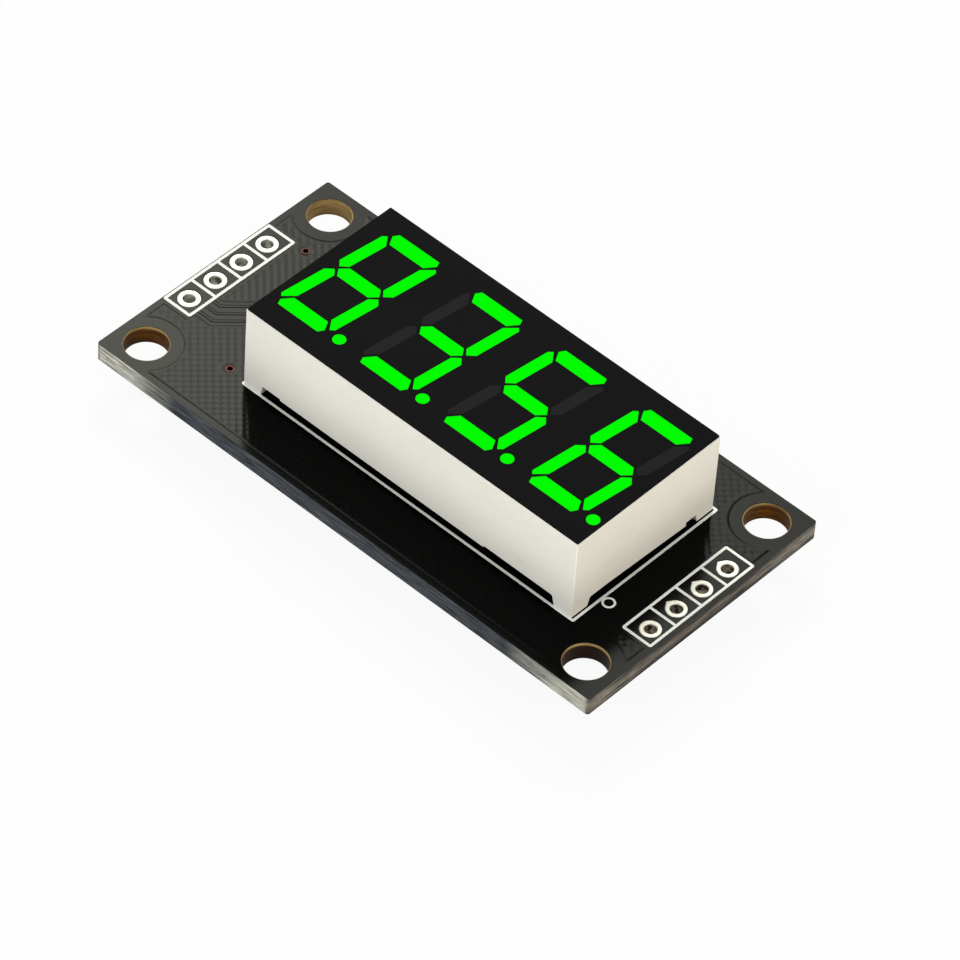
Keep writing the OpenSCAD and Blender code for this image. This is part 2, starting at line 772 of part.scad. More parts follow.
// Lands of one side, grown by gap
module lead_lands(side, gap) {
    from = lead_bend - heel_out;
    to = lead_reach;
    for (y = lead_places()) translate([driver_x + side * (from + to) / 2, y])
        square([to - from + 2 * gap, lead_land_w + 2 * gap], center = true);
}

// Solder at a lead's heel and toe, seen from the lead's edge
module lead_fillets() {
    outer = lead_r + lead_t + seat_gap;
    foot = [lead_foot, land_t + lead_r + lead_t];
    heel = lead_bend - heel_out + solder_line;
    toe = lead_span / 2 + seat_gap;
    polygon(concat([[heel, land_t]], arc(foot, outer, heel_angle, 180 + asin((lead_r + lead_t) / outer))));
    polygon([[toe, land_t], [toe, land_t + lead_t * toe_rise],
        [toe + lead_land_out * knee_out, land_t + lead_t * knee_rise],
        [toe + lead_land_out - solder_line - seat_gap, land_t]]);
}

module driver_joints() {
    fillet_w = lead_land_w - 2 * solder_line;
    color("#cfd0cc") {
        underside() linear_extrude(land_t) for (side = [-1, 1]) lead_lands(side, 0);
        along_driver() translate([0, fillet_w / 2, 0]) rotate([90, 0, 0])
            linear_extrude(fillet_w) lead_fillets();
    }
}

// A chip part's core, without the metal of its caps
module chip_core(p, l, w, h) {
    translate(p) underside() slab(l - 2 * cap_t, w - 2 * cap_t, land_t + cap_t, h - 2 * cap_t);
}

// The two end caps of a chip part, as cups over the core's ends
module chip_caps(p, l, w, h) {
    translate(p) underside() difference() {
        slab(l, w, land_t, h);
        slab(l - 2 * cap_wrap, w + over, land_t - over, h + 2 * over);
        slab(l - 2 * cap_t, w - 2 * cap_t, land_t + cap_t, h - 2 * cap_t);
    }
}

module chip_lands(p, l, w, gap) {
    from = l / 2 - cap_wrap;
    to = l / 2 + chip_land_out;
    for (side = [-1, 1]) translate([p.x + side * (from + to) / 2, p.y])
        square([to - from + 2 * gap, w + chip_land_out * chip_land_more + 2 * gap], center = true);
}

// Lands of a chip part with the solder that climbs its caps
module chip_joint(p, l, w, h) {
    toe = l / 2 + seat_gap;
    rise = min(h, chip_w) * climb;
    run = chip_land_out - solder_line - seat_gap;
    underside() {
        linear_extrude(land_t) chip_lands(p, l, w, 0);
        for (side = [0, 1]) translate(p) mirror([side, 0, 0]) translate([0, w / 2, 0]) rotate([90, 0, 0])
            linear_extrude(w) polygon([[toe, land_t], [toe, land_t + rise],
                [toe + run * climb_out, land_t + rise * climb_knee], [toe + run, land_t]]);
    }
}

module resistor_bodies() {
    color("#e6e4dc") for (p = RESISTORS) chip_core(p, chip_l, chip_w, resistor_h);
}

// The dark coat on a resistor's face, between its caps
module resistor_glazes() {
    color("#1f1f22") for (p = RESISTORS) translate(p) underside()
        slab(chip_l - 2 * cap_wrap, chip_w - 2 * cap_t, land_t + resistor_h - cap_t, cap_t);
}

module resistor_end_caps() {
    color("#d8d8d4") for (p = RESISTORS) chip_caps(p, chip_l, chip_w, resistor_h);
}

module capacitor_bodies() {
    color("#a98a63") {
        for (p = CAPACITORS) chip_core(p, chip_l, chip_w, capacitor_h);
        chip_core(BULK, bulk_l, bulk_w, bulk_w);
    }
}

module capacitor_end_caps() {
    color("#d8d8d4") {
        for (p = CAPACITORS) chip_caps(p, chip_l, chip_w, capacitor_h);
        chip_caps(BULK, bulk_l, bulk_w, bulk_w);
    }
}

module chip_part_joints() {
    color("#cfd0cc") {
        for (p = RESISTORS) chip_joint(p, chip_l, chip_w, resistor_h);
        for (p = CAPACITORS) chip_joint(p, chip_l, chip_w, capacitor_h);
        chip_joint(BULK, bulk_l, bulk_w, bulk_w);
    }
}

laminate();
solder_mask_top();
solder_mask_bottom();
screen_print();
header_lands_left();
header_lands_right();
display_pin_lands();
vias();
display_housing();
display_face();
for (d = [1 : digit_count]) for (bar = BARS)
    segment_window(d, bar);
for (d = [1 : digit_count])
    decimal_point(d);
display_carrier_board();
light_chips();
display_back_seal();
display_pins();
display_pin_joints();
driver_body();
driver_leads();
driver_joints();
resistor_bodies();
resistor_glazes();
resistor_end_caps();
capacitor_bodies();
capacitor_end_caps();
chip_part_joints();
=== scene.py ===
# Finishes of a seven segment display module: solder, lacquer relief, moulded parts and the stage.
import json
import math

import bmesh
import bpy
import numpy as np
from bpy.props import FloatProperty, FloatVectorProperty, PointerProperty
from mathutils import Matrix, Vector


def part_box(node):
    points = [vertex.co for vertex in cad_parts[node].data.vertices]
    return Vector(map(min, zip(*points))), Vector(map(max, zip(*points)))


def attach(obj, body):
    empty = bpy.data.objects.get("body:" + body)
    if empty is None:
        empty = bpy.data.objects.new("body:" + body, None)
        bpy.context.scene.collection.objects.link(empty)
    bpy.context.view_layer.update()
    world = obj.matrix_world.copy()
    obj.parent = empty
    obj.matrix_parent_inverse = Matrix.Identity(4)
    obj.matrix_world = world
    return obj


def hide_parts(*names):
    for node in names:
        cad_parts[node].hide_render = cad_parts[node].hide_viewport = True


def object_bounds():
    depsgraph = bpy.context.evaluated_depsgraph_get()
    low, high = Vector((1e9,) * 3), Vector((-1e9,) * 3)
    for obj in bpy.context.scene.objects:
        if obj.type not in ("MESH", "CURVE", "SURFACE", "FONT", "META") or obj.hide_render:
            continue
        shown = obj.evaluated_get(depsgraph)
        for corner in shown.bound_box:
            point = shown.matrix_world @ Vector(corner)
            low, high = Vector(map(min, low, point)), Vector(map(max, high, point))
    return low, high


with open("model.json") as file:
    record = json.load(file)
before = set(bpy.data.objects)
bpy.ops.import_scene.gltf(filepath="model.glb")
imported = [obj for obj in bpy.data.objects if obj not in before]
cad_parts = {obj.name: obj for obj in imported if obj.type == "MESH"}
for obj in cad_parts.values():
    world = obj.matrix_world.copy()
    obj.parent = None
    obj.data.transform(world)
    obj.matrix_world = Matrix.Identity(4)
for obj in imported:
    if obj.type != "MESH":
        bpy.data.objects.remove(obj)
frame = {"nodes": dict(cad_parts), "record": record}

CAD_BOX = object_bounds()

bl_info = {
    "name": "Seven Segment Display Module",
    "version": (1, 0, 0),
    "blender": (4, 5, 0),
    "location": "View3D > Sidebar > Display Module",
    "description": "Finishes a four digit display on its circuit board",
    "category": "Object",
}

MM = 0.001
HARD_ANGLE = math.radians(50)
MOUNTS = {mount["name"]: mount for mount in frame["record"]["mounts"]}
SLOT_OF = {part["node"]: part["material_slot"] for part in frame["record"]["subparts"]}


def linear(text):
    """The linear colour of an sRGB hex value, with full alpha."""
    shares = [int(text[i:i + 2], 16) / 255 for i in (1, 3, 5)]
    return (*[s / 12.92 if s <= 0.04045 else ((s + 0.055) / 1.055) ** 2.4 for s in shares], 1.0)


def per_mm(size):
    """Scale of a pattern whose features are size millimetres apart."""
    return 1 / (size * MM)


def box_mm(node):
    """Lowest and highest corner of a CAD node, in millimetres."""
    low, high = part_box(node)
    return np.array(low) / MM, np.array(high) / MM


# Places and sizes in millimetres, read from the frame
BOARD_LOW, BOARD_HIGH = box_mm("laminate")
DISPLAY_LOW, DISPLAY_HIGH = box_mm("display_housing")
FACE_LOW, FACE_HIGH = box_mm("display_face")
DRIVER_LOW, DRIVER_HIGH = box_mm("driver_joints")
JOINT_LOW, JOINT_HIGH = box_mm("display_pin_joints")
MASK_TOP = box_mm("solder_mask_top")[1][2]
MASK_FOOT = box_mm("solder_mask_bottom")[0][2]
LAND_T = box_mm("header_lands_left")[1][2]
BOARD_T = -BOARD_LOW[2]
HOLE_SPACING = np.array([MOUNTS["mounting_holes"]["dims"][f"spacing_{axis}_mm"] for axis in "xy"])
HOLE_R = MOUNTS["mounting_holes"]["dims"]["hole_r_mm"]
HEADER_R = MOUNTS["left_header_hole_1"]["dims"]["r_mm"]
HEADER_ROWS = {side: np.array([MOUNTS[f"{side}_header_hole_{i}"]["pos_m"][:2] for i in range(1, 5)]) / MM
               for side in ("left", "right")}
HEADER_X = HEADER_ROWS["right"][0][0]

# Sizes in millimetres that the lands, the pins and the solder share with the board's making
PLATING = 0.03
SEAT_GAP = 0.01
LAND_D = {"left": 1.64, "right": 1.52}
DROPS = {"left": (0, 0, 0, 0), "right": (0, -1, -1, -1)}
DROP_L = 0.14
VIA_R = 0.2
VIA_RING_R = 0.33
PIN_R = 0.25
PIN_HOLE_R = 0.45
PIN_LAND = np.array([1.6, 3.1])
PIN_PITCH = 2.54
PIN_ROWS = 10.16
COAT_EDGE = 0.05
COAT_T = 0.05
TIP_R = 0.32
CONE_H = -BOARD_T - LAND_T - COAT_T - JOINT_LOW[2]
DISPLAY_MIDDLE = (DISPLAY_LOW + DISPLAY_HIGH)[:2] / 2
PINS = np.array([[DISPLAY_MIDDLE[0] + (i - 2.5) * PIN_PITCH, DISPLAY_MIDDLE[1] + row * PIN_ROWS / 2]
                 for row in (-1, 1) for i in range(6)])
VIA_LOW, VIA_HIGH = box_mm("vias")
VIAS = [(VIA_LOW[0] + VIA_RING_R, VIA_HIGH[1] - VIA_RING_R), (VIA_HIGH[0] - VIA_RING_R, VIA_LOW[1] + VIA_RING_R)]


class BoardSettings(bpy.types.PropertyGroup):
    """Sizes and colours of the circuit board's finish."""
    lacquer: FloatVectorProperty(
        name="Lacquer", description="Colour of the solder mask", subtype="COLOR", size=4,
        min=0, max=1, default=linear("#050505"))
    ink: FloatVectorProperty(
        name="Ink", description="Colour of the screen print", subtype="COLOR", size=4,
        min=0, max=1, default=linear("#f0f5f0"))
    grid_pitch: FloatProperty(
        name="Grid pitch", description="Distance between the lines of the copper grid under the lacquer",
        unit="LENGTH", min=0.4 * MM, max=1 * MM, default=0.508 * MM)
    grid_rise: FloatProperty(
        name="Grid rise", description="Height of the copper grid's relief in the lacquer",
        unit="LENGTH", min=0.002 * MM, max=0.019 * MM, default=0.016 * MM)
    track_width: FloatProperty(
        name="Track width", description="Width of a lacquered track",
        unit="LENGTH", min=0.15 * MM, max=0.4 * MM, default=0.3 * MM)
    corner_radius: FloatProperty(
        name="Corner radius", description="Rounding of the board's corners",
        unit="LENGTH", min=0.05 * MM, max=0.45 * MM, default=0.2 * MM)


class DisplaySettings(bpy.types.PropertyGroup):
    """Sizes and colours of the display's finish."""
    housing: FloatVectorProperty(
        name="Housing", description="Colour of the moulded housing", subtype="COLOR", size=4,
        min=0, max=1, default=linear("#e4e3da"))
    lit: FloatVectorProperty(
        name="Lit", description="Colour of a lit bar", subtype="COLOR", size=4,
        min=0, max=1, default=linear("#00ff00"))
    unlit: FloatVectorProperty(
        name="Unlit", description="Colour of an unlit bar", subtype="COLOR", size=4,
        min=0, max=1, default=linear("#1d1d1f"))
    film: FloatVectorProperty(
        name="Film", description="Colour of the film on the face", subtype="COLOR", size=4,
        min=0, max=1, default=linear("#0f0f11"))
    edge_radius: FloatProperty(
        name="Edge radius", description="Rounding of the housing's outer edges",
        unit="LENGTH", min=0.02 * MM, max=0.1 * MM, default=0.06 * MM)
    film_radius: FloatProperty(
        name="Film radius", description="Rounding of the film's outer edges",
        unit="LENGTH", min=0.005 * MM, max=0.08 * MM, default=0.03 * MM)


class StageSettings(bpy.types.PropertyGroup):
    """Light and camera."""
    sky: FloatProperty(
        name="Sky", description="Strength of the even light", min=0, max=1, default=0.42)
    softbox: FloatProperty(
        name="Softbox", description="Radiance of the softbox that the lacquer mirrors", min=0, max=40,
        default=15)
    fill: FloatProperty(
        name="Fill", description="Radiance of the fill lights at the camera's side", min=0, max=10,
        default=3.9)
    focal_length: FloatProperty(
        name="Focal length", description="Focal length on a 36 mm sensor", subtype="DISTANCE_CAMERA",
        min=20, max=500, default=241.114)


def add_node(tree, kind, settings=None, links=None):
    """Adds a node. Settings name its properties or its inputs, and links join outputs to its inputs."""
    made = tree.nodes.new(kind)
    for key, value in (settings or {}).items():
        if isinstance(key, int) or key in made.inputs:
            made.inputs[key].default_value = value
        else:
            setattr(made, key, value)
    for key, output in (links or {}).items():
        tree.links.new(output, made.inputs[key])
    return made


def start_finish(name, settings):
    """A new material with one shader. Returns the material, its tree, the shader and Object coordinates."""
    material = bpy.data.materials.new(name)
    material.use_nodes = True
    tree = material.node_tree
    tree.nodes.clear()
    shader = add_node(tree, "ShaderNodeBsdfPrincipled", settings)
    add_node(tree, "ShaderNodeOutputMaterial", links={"Surface": shader.outputs[0]})
    place = add_node(tree, "ShaderNodeTexCoord").outputs["Object"]
    return material, tree, shader, place


def speckle(name, settings, dark, light, size, bump_size, bump_height, strength=0.4):
    """A finish whose colour drifts between two tones over size millimetres, with a bump of its own size."""
    material, tree, shader, place = start_finish(name, settings)
    drift = add_node(tree, "ShaderNodeTexNoise", {"Scale": per_mm(size), "Detail": 4}, {"Vector": place})
    shade = add_node(tree, "ShaderNodeMix", {"data_type": "RGBA", 6: dark, 7: light}, {0: drift.outputs[0]})
    grit = add_node(tree, "ShaderNodeTexNoise", {"Scale": per_mm(bump_size), "Detail": 3}, {"Vector": place})
    bump = add_node(tree, "ShaderNodeBump", {"Strength": strength, "Distance": bump_height * MM}, {
        "Height": grit.outputs[0]})
    tree.links.new(shade.outputs[2], shader.inputs["Base Color"])
    tree.links.new(bump.outputs[0], shader.inputs["Normal"])
    return material, tree, shader, place


def shade_of(colour, share):
    """A colour scaled by share."""
    return (*[min(1.0, c * share) for c in colour[:3]], 1.0)


def lay_over(tree, shader, share, colour):
    """Lays a colour, or a colour output, over a shader's base colour by a share."""
    base = shader.inputs["Base Color"].links[0].from_socket
    settings = {"data_type": "RGBA"}
    links = {0: share, 6: base}
    if isinstance(colour, tuple):
        settings[7] = colour
    else:
        links[7] = colour
    over = add_node(tree, "ShaderNodeMix", settings, links)
    tree.links.new(over.outputs[2], shader.inputs["Base Color"])


def depth_share(tree, place, low, high):
    """0 in the middle of the board's thickness, 1 at both faces, between low and high millimetres from it."""
    split = add_node(tree, "ShaderNodeSeparateXYZ", links={0: place})
    lifted = add_node(tree, "ShaderNodeMath", {"operation": "ADD", 1: BOARD_T / 2 * MM}, {0: split.outputs[2]})
    off = add_node(tree, "ShaderNodeMath", {"operation": "ABSOLUTE"}, {0: lifted.outputs[0]})
    share = add_node(tree, "ShaderNodeMapRange", {"From Min": low * MM, "From Max": high * MM}, {
        0: off.outputs[0]})
    return share.outputs[0], split


def solder_mask(board):
    """Liquid solder mask, cured glossy: deep black, with a softbox standing in it and a faint flow texture."""
    return speckle(
        "black_solder_mask", {"Roughness": 0.17, "Specular IOR Level": 0.03},
        shade_of(board.lacquer, 0.6), shade_of(board.lacquer, 1.3), 5, 0.6, 0.004, 0.25)[0]


def screen_ink(board):
    """Screen printed epoxy ink: a chalky white film whose body varies a little."""
    return speckle(
        "white_screen_ink", {"Roughness": 0.5, "Specular IOR Level": 0.3},
        shade_of(board.ink, 0.9), board.ink, 0.5, 0.12, 0.004)[0]


def glass_fibre_laminate():
    """Glass fibre laminate, drilled and routed: brown drilled walls with a painted light band at their top, painted
    lighter towards the back left and painted darker towards the front right as painted shade, and cut edges in
    blue grey streaks, where the layers of glass lie along the board, that are paler towards its corners and brown
    with a pale core on the end sides."""
    material, tree, shader, place = start_finish("glass_fibre_laminate", {
        "Roughness": 0.55, "Specular IOR Level": 0.06})
    core, split = depth_share(tree, place, 0.15, 0.5)
    # Painted light: each drilled wall is painted pale down to 0.12 mm below the top face, fading to its brown by
    # 0.26 mm, as if its top were lit and the rest in shade
    painted_light_band = add_node(tree, "ShaderNodeMapRange", {"From Min": -0.26 * MM, "From Max": -0.12 * MM}, {
        0: split.outputs[2]})
    folded = [add_node(tree, "ShaderNodeMath", {"operation": "ABSOLUTE"}, {0: split.outputs[i]}).outputs[0]
              for i in (0, 1)]
    quarter = add_node(tree, "ShaderNodeCombineXYZ", links={0: folded[0], 1: folded[1]})
    # Layers of glass cloth are about 0.18 mm thick and show as streaks a few millimetres long
    layers = add_node(tree, "ShaderNodeMapping", {"Scale": (0.08, 0.08, 1)}, {"Vector": place})
    streak = add_node(tree, "ShaderNodeTexNoise", {"Scale": per_mm(0.18), "Detail": 5, "Roughness": 0.62}, {
        "Vector": layers.outputs[0]})
    cut = add_node(tree, "ShaderNodeMapRange", {"From Min": 0.34, "From Max": 0.68}, {0: streak.outputs[0]})
    shares = {}
    for name, place_mm, near, far in (("drilled", HOLE_SPACING / 2, HOLE_R + 0.2, HOLE_R + 0.3),
                                      ("rubbed", BOARD_HIGH[:2], 1.5, 7.5)):
        away = add_node(tree, "ShaderNodeVectorMath", {"operation": "DISTANCE", 1: (*place_mm * MM, 0)}, {
            0: quarter.outputs[0]})
        shares[name] = add_node(tree, "ShaderNodeMapRange", {
            "From Min": far * MM, "From Max": near * MM}, {0: away.outputs["Value"]}).outputs[0]
    tones = [add_node(tree, "ShaderNodeMix", {"data_type": "RGBA", 6: linear(dark), 7: linear(light)}, {
        0: cut.outputs[0]}).outputs[2]
        for dark, light in (("#14171b", "#4d5359"), ("#5c5c54", "#dcdcd0"), ("#1a0b01", "#74460f"),
                            ("#6b5128", "#b9a06c"), ("#0a0400", "#2c1606"), ("#2a2520", "#857b6f"),
                            ("#0f0e0d", "#38332d"))]
    # The cut edges turn paler within 7.5 mm of each corner, palest within 1.5 mm of it
    edge = add_node(tree, "ShaderNodeMix", {"data_type": "RGBA"}, {0: shares["rubbed"], 6: tones[0], 7: tones[1]})
    routed = add_node(tree, "ShaderNodeMix", {"data_type": "RGBA"}, {0: core, 6: tones[5], 7: tones[6]})
    at_end = add_node(tree, "ShaderNodeMapRange", {
        "From Min": (BOARD_HIGH[0] - 0.4) * MM, "From Max": (BOARD_HIGH[0] - 0.1) * MM, "To Max": 0.8}, {
        0: folded[0]})
    sides = add_node(tree, "ShaderNodeMix", {"data_type": "RGBA"}, {
        0: at_end.outputs[0], 6: edge.outputs[2], 7: routed.outputs[2]})
    # From the back left hole to the front right one, x - y grows from -29 mm to 29 mm. The drilled walls are painted
    # lighter towards the back left as painted light, and darker towards the front right as painted shade.
    across = add_node(tree, "ShaderNodeVectorMath", {"operation": "DOT_PRODUCT", 1: (1, -1, 0)}, {0: place})
    drilled = tones[2]
    for start, full, tone in ((-13, -27, tones[3]), (13, 27, tones[4])):
        share = add_node(tree, "ShaderNodeMapRange", {"From Min": start * MM, "From Max": full * MM}, {
            0: across.outputs["Value"]})
        drilled = add_node(tree, "ShaderNodeMix", {"data_type": "RGBA"}, {
            0: share.outputs[0], 6: drilled, 7: tone}).outputs[2]
    # The painted light band at the top of each drilled wall
    wall = add_node(tree, "ShaderNodeMix", {"data_type": "RGBA"}, {0: painted_light_band.outputs[0], 6: drilled, 7: tones[3]})
    both = add_node(tree, "ShaderNodeMix", {"data_type": "RGBA"}, {
        0: shares["drilled"], 6: sides.outputs[2], 7: wall.outputs[2]})
    bump = add_node(tree, "ShaderNodeBump", {"Strength": 0.7, "Distance": 0.04 * MM}, {"Height": streak.outputs[0]})
    tree.links.new(both.outputs[2], shader.inputs["Base Color"])
    tree.links.new(bump.outputs[0], shader.inputs["Normal"])
    return material


def metal(name, dark, light, roughness, size=0.8, bump_height=0.004):
    """Bright metal whose tone and polish drift over size millimetres."""
    material, tree, shader, place = speckle(
        name, {"Metallic": 1.0, "Roughness": roughness}, dark, light, size, size / 3, bump_height)
    polish = add_node(tree, "ShaderNodeTexNoise", {"Scale": per_mm(size / 2), "Detail": 3}, {"Vector": place})
    blur = add_node(tree, "ShaderNodeMapRange", {"To Min": roughness * 0.7, "To Max": roughness * 1.5}, {
        0: polish.outputs[0]})
    tree.links.new(blur.outputs[0], shader.inputs["Roughness"])
    return material, tree, shader, place


def hot_tinned_copper():
    """Copper levelled with hot solder: nearly white on its domed lands, and painted darker inside the holes as
    painted shade, grey in the left row and brown in the right one."""
    material, tree, shader, place = metal("hot_tinned_copper", linear("#c6c6ba"), linear("#eeeee2"), 0.48)
    # Painted shade: more than 0.16 mm in from either face, the plated walls inside the holes are painted darker than
    # the lands
    face, split = depth_share(tree, place, BOARD_T / 2 - 0.16, BOARD_T / 2)
    deep = add_node(tree, "ShaderNodeMath", {"operation": "SUBTRACT", 0: 1.0}, {1: face})
    patch = add_node(tree, "ShaderNodeTexNoise", {"Scale": per_mm(0.45), "Detail": 2}, {"Vector": place})
    spread = add_node(tree, "ShaderNodeMapRange", {"From Min": 0.4, "From Max": 0.6}, {0: patch.outputs[0]})
    tones = [add_node(tree, "ShaderNodeMix", {"data_type": "RGBA", 6: linear(dark), 7: linear(light)}, {
        0: spread.outputs[0]}).outputs[2] for dark, light in (("#77776f", "#c6c6bc"), ("#1c140d", "#a89b8a"))]
    right = add_node(tree, "ShaderNodeMath", {"operation": "GREATER_THAN", 1: 0.0}, {0: split.outputs[0]})
    painted_hole_shade = add_node(tree, "ShaderNodeMix", {"data_type": "RGBA"}, {0: right.outputs[0], 6: tones[0], 7: tones[1]})
    lay_over(tree, shader, deep.outputs[0], painted_hole_shade.outputs[2])
    return material


def covered_copper():
    """Copper under a thin coat of lacquer: a dull red ring round a hole that holds no light."""
    material, tree, shader, place = speckle(
        "lacquered_copper", {"Roughness": 0.35, "Specular IOR Level": 0.1},
        linear("#4a2422"), linear("#8a4c48"), 0.4, 0.2, 0.003)
    face = depth_share(tree, place, BOARD_T / 2 - 0.02, BOARD_T / 2 + 0.01)[0]
    deep = add_node(tree, "ShaderNodeMath", {"operation": "SUBTRACT", 0: 1.0}, {1: face})
    # Painted shade: the via's wall, more than 0.02 mm in from the face, is painted near black
    lay_over(tree, shader, deep.outputs[0], linear("#020101"))
    return material


def bright_solder():
    """Tin solder, cooled from the melt: bright, a little clouded and softly rippled."""
    return metal("bright_solder", linear("#a9aaa6"), linear("#dcdcd6"), 0.24, 0.7, 0.012)[0]


def tin_plate():
    """Tin plated copper wire and stamped leads: satin grey, drawn along their length."""
    return metal("tin_plated_wire", linear("#a8a8a2"), linear("#d2d1ca"), 0.34, 0.5, 0.004)[0]


def moulded_housing(display):
    """White filled plastic, injection moulded satin: even, with a fine sparked texture and a few rubbed marks,
    and painted a little darker towards the foot as painted shade."""
    material, tree, shader, place = speckle(
        "white_moulded_housing", {"Roughness": 0.42, "Specular IOR Level": 0.3},
        shade_of(display.housing, 0.94), display.housing, 4, 0.11, 0.006, 0.3)
    squash = add_node(tree, "ShaderNodeMapping", {"Scale": (0.12, 0.12, 1.0), "Rotation": (0.3, 0.2, 0)}, {
        "Vector": place})
    rub = add_node(tree, "ShaderNodeTexNoise", {"Scale": per_mm(0.5), "Detail": 6, "Roughness": 0.7}, {
        "Vector": squash.outputs[0]})
    marks = add_node(tree, "ShaderNodeMapRange", {
        "From Min": 0.58, "From Max": 0.8, "To Min": 0.0, "To Max": 0.22}, {0: rub.outputs[0]})
    lay_over(tree, shader, marks.outputs[0], linear("#8e8d86"))
    # Painted shade: the walls are painted darker towards the foot, most at the foot and fading out 4 mm above it
    split = add_node(tree, "ShaderNodeSeparateXYZ", links={0: place})
    painted_foot_shade = add_node(tree, "ShaderNodeMapRange", {
        "From Min": DISPLAY_LOW[2] * MM, "From Max": (DISPLAY_LOW[2] + 4) * MM, "To Min": 0.16, "To Max": 0.0}, {
        0: split.outputs[2]})
    lay_over(tree, shader, painted_foot_shade.outputs[0], linear("#3d3b35"))
    return material


def printed_film(display):
    """Black film, screen printed matt: soft black with a dim sheen and a dust of fine grain."""
    return speckle(
        "black_printed_film", {"Roughness": 0.45, "Specular IOR Level": 0.008},
        shade_of(display.film, 0.85), shade_of(display.film, 1.15), 7, 0.08, 0.002, 0.2)[0]


def diffusing_resin(name, colour, glow):
    """Cast epoxy full of fine white powder, which spreads the light of its chip over the whole window."""
    if not glow:
        return speckle(name, {"Roughness": 0.4, "Specular IOR Level": 0.008},
                       shade_of(colour, 0.9), shade_of(colour, 1.1), 0.5, 0.08, 0.002, 0.2)[0]
    material, tree, shader, place = start_finish(name, {
        "Roughness": 0.5, "Base Color": linear("#000000"), "Specular IOR Level": 0.002, "Emission Strength": 1.0})
    grain = add_node(tree, "ShaderNodeTexNoise", {"Scale": per_mm(0.35), "Detail": 3}, {"Vector": place})
    shade = add_node(tree, "ShaderNodeMix", {
        "data_type": "RGBA", 6: shade_of(colour, 0.93), 7: colour}, {0: grain.outputs[0]})
    tree.links.new(shade.outputs[2], shader.inputs["Emission Color"])
    return material


def plain_laminate():
    """Bare laminate of the chip board: dull green, with the weave of its glass faintly showing."""
    return speckle(
        "green_chip_board", {"Roughness": 0.55}, linear("#2f4a28"), linear("#46663a"), 0.5, 0.3, 0.01)[0]


def chip_crystal():
    """Sawn and polished crystal of a light chip: pale yellow and glossy."""
    return speckle(
        "light_chip_crystal", {"Roughness": 0.15}, linear("#b8b880"), linear("#e0e0b0"), 0.1, 0.05, 0.002)[0]


def cast_seal():
    """Cast epoxy that closes the back: milky cream, levelled by its own flow."""
    return speckle(
        "cream_cast_epoxy", {"Roughness": 0.3}, linear("#c4bda6"), linear("#e2dccb"), 2, 1.2, 0.03)[0]


def moulded_epoxy():
    """Moulding compound, transfer moulded in a sparked tool: dark grey and finely rough."""
    return speckle(
        "black_moulding_compound", {"Roughness": 0.6, "Specular IOR Level": 0.3},
        linear("#161618"), linear("#242426"), 1.5, 0.06, 0.012)[0]


def fired_alumina():
    """Fired alumina: chalk white and fine grained."""
    return speckle("white_alumina", {"Roughness": 0.45}, linear("#d6d4cc"), linear("#f0eee6"), 0.3, 0.05, 0.003)[0]


def resistor_glaze():
    """Glass glaze over a resistor's film: near black and glossy."""
    return speckle("dark_glass_glaze", {"Roughness": 0.15}, linear("#161618"), linear("#26262a"), 0.4, 0.3, 0.006)[0]


def fired_dielectric():
    """Fired dielectric of a capacitor: tan, dense and slightly satin."""
    return speckle("tan_dielectric", {"Roughness": 0.4}, linear("#94764f"), linear("#b8976c"), 0.4, 0.06, 0.003)[0]


def new_piece(name, points, faces, material, slot):
    """Puts points (metres) and faces into a new mesh, merges the points that meet and places it. It is smooth
    except at a sheet's rim and where faces meet at more than HARD_ANGLE."""
    mesh = bpy.data.meshes.new(name)
    mesh.from_pydata(points.tolist(), [], faces.tolist())
    mesh.polygons.foreach_set("use_smooth", np.full(len(mesh.polygons), True))
    made = bmesh.new()
    made.from_mesh(mesh)
    bmesh.ops.remove_doubles(made, verts=made.verts, dist=0.0002 * MM)
    for edge in made.edges:
        edge.smooth = not edge.is_boundary and edge.calc_face_angle(0) < HARD_ANGLE
    made.to_mesh(mesh)
    made.free()
    return place_piece(bpy.data.objects.new(name, mesh), material, slot)


def place_piece(piece, material, slot, *replaced):
    """Links a piece, gives it its finish, and lets it ride on the part."""
    bpy.context.scene.collection.objects.link(piece)
    piece.data.materials.clear()
    piece.data.materials.append(material)
    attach(piece, "root")
    if replaced:
        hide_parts(*replaced)
    return piece


def finish_of(node):
    """The material that a CAD node carries."""
    return frame["nodes"][node].material_slots[0].material


def grid_faces(rows, columns, close_rows, close_columns):
    """Quads of a grid of points, joined to its start again where it is closed."""
    i = np.arange(rows if close_rows else rows - 1)[:, None]
    j = np.arange(columns if close_columns else columns - 1)[None, :]
    a = i * columns + j
    b = i * columns + (j + 1) % columns
    c = (i + 1) % rows * columns + (j + 1) % columns
    d = (i + 1) % rows * columns + j
    return np.stack([a, b, c, d], -1).reshape(-1, 4)


def outward(points, faces):
    """Faces turned so that the closed surface holds a positive volume, summed over its tetrahedra."""
    a, b, c, d = (points[faces[:, k]] for k in range(4))
    volume = np.einsum("ij,ij->i", a, np.cross(b, c)).sum() + np.einsum("ij,ij->i", a, np.cross(c, d)).sum()
    return faces if volume > 0 else faces[:, ::-1]


def drop_outline(radius, side):
    """Distance of a round land's edge at each angle. Where a teardrop points to side, the edge is the line
    that touches the circle and meets the tip."""
    tip = radius + DROP_L
    touch = math.acos(radius / tip)

    def edge(angle):
        off = np.abs((angle - (0 if side > 0 else math.pi) + math.pi) % (2 * math.pi) - math.pi)
        return np.where((off < touch) & (side != 0), radius / np.cos(touch - off), radius)
    return edge


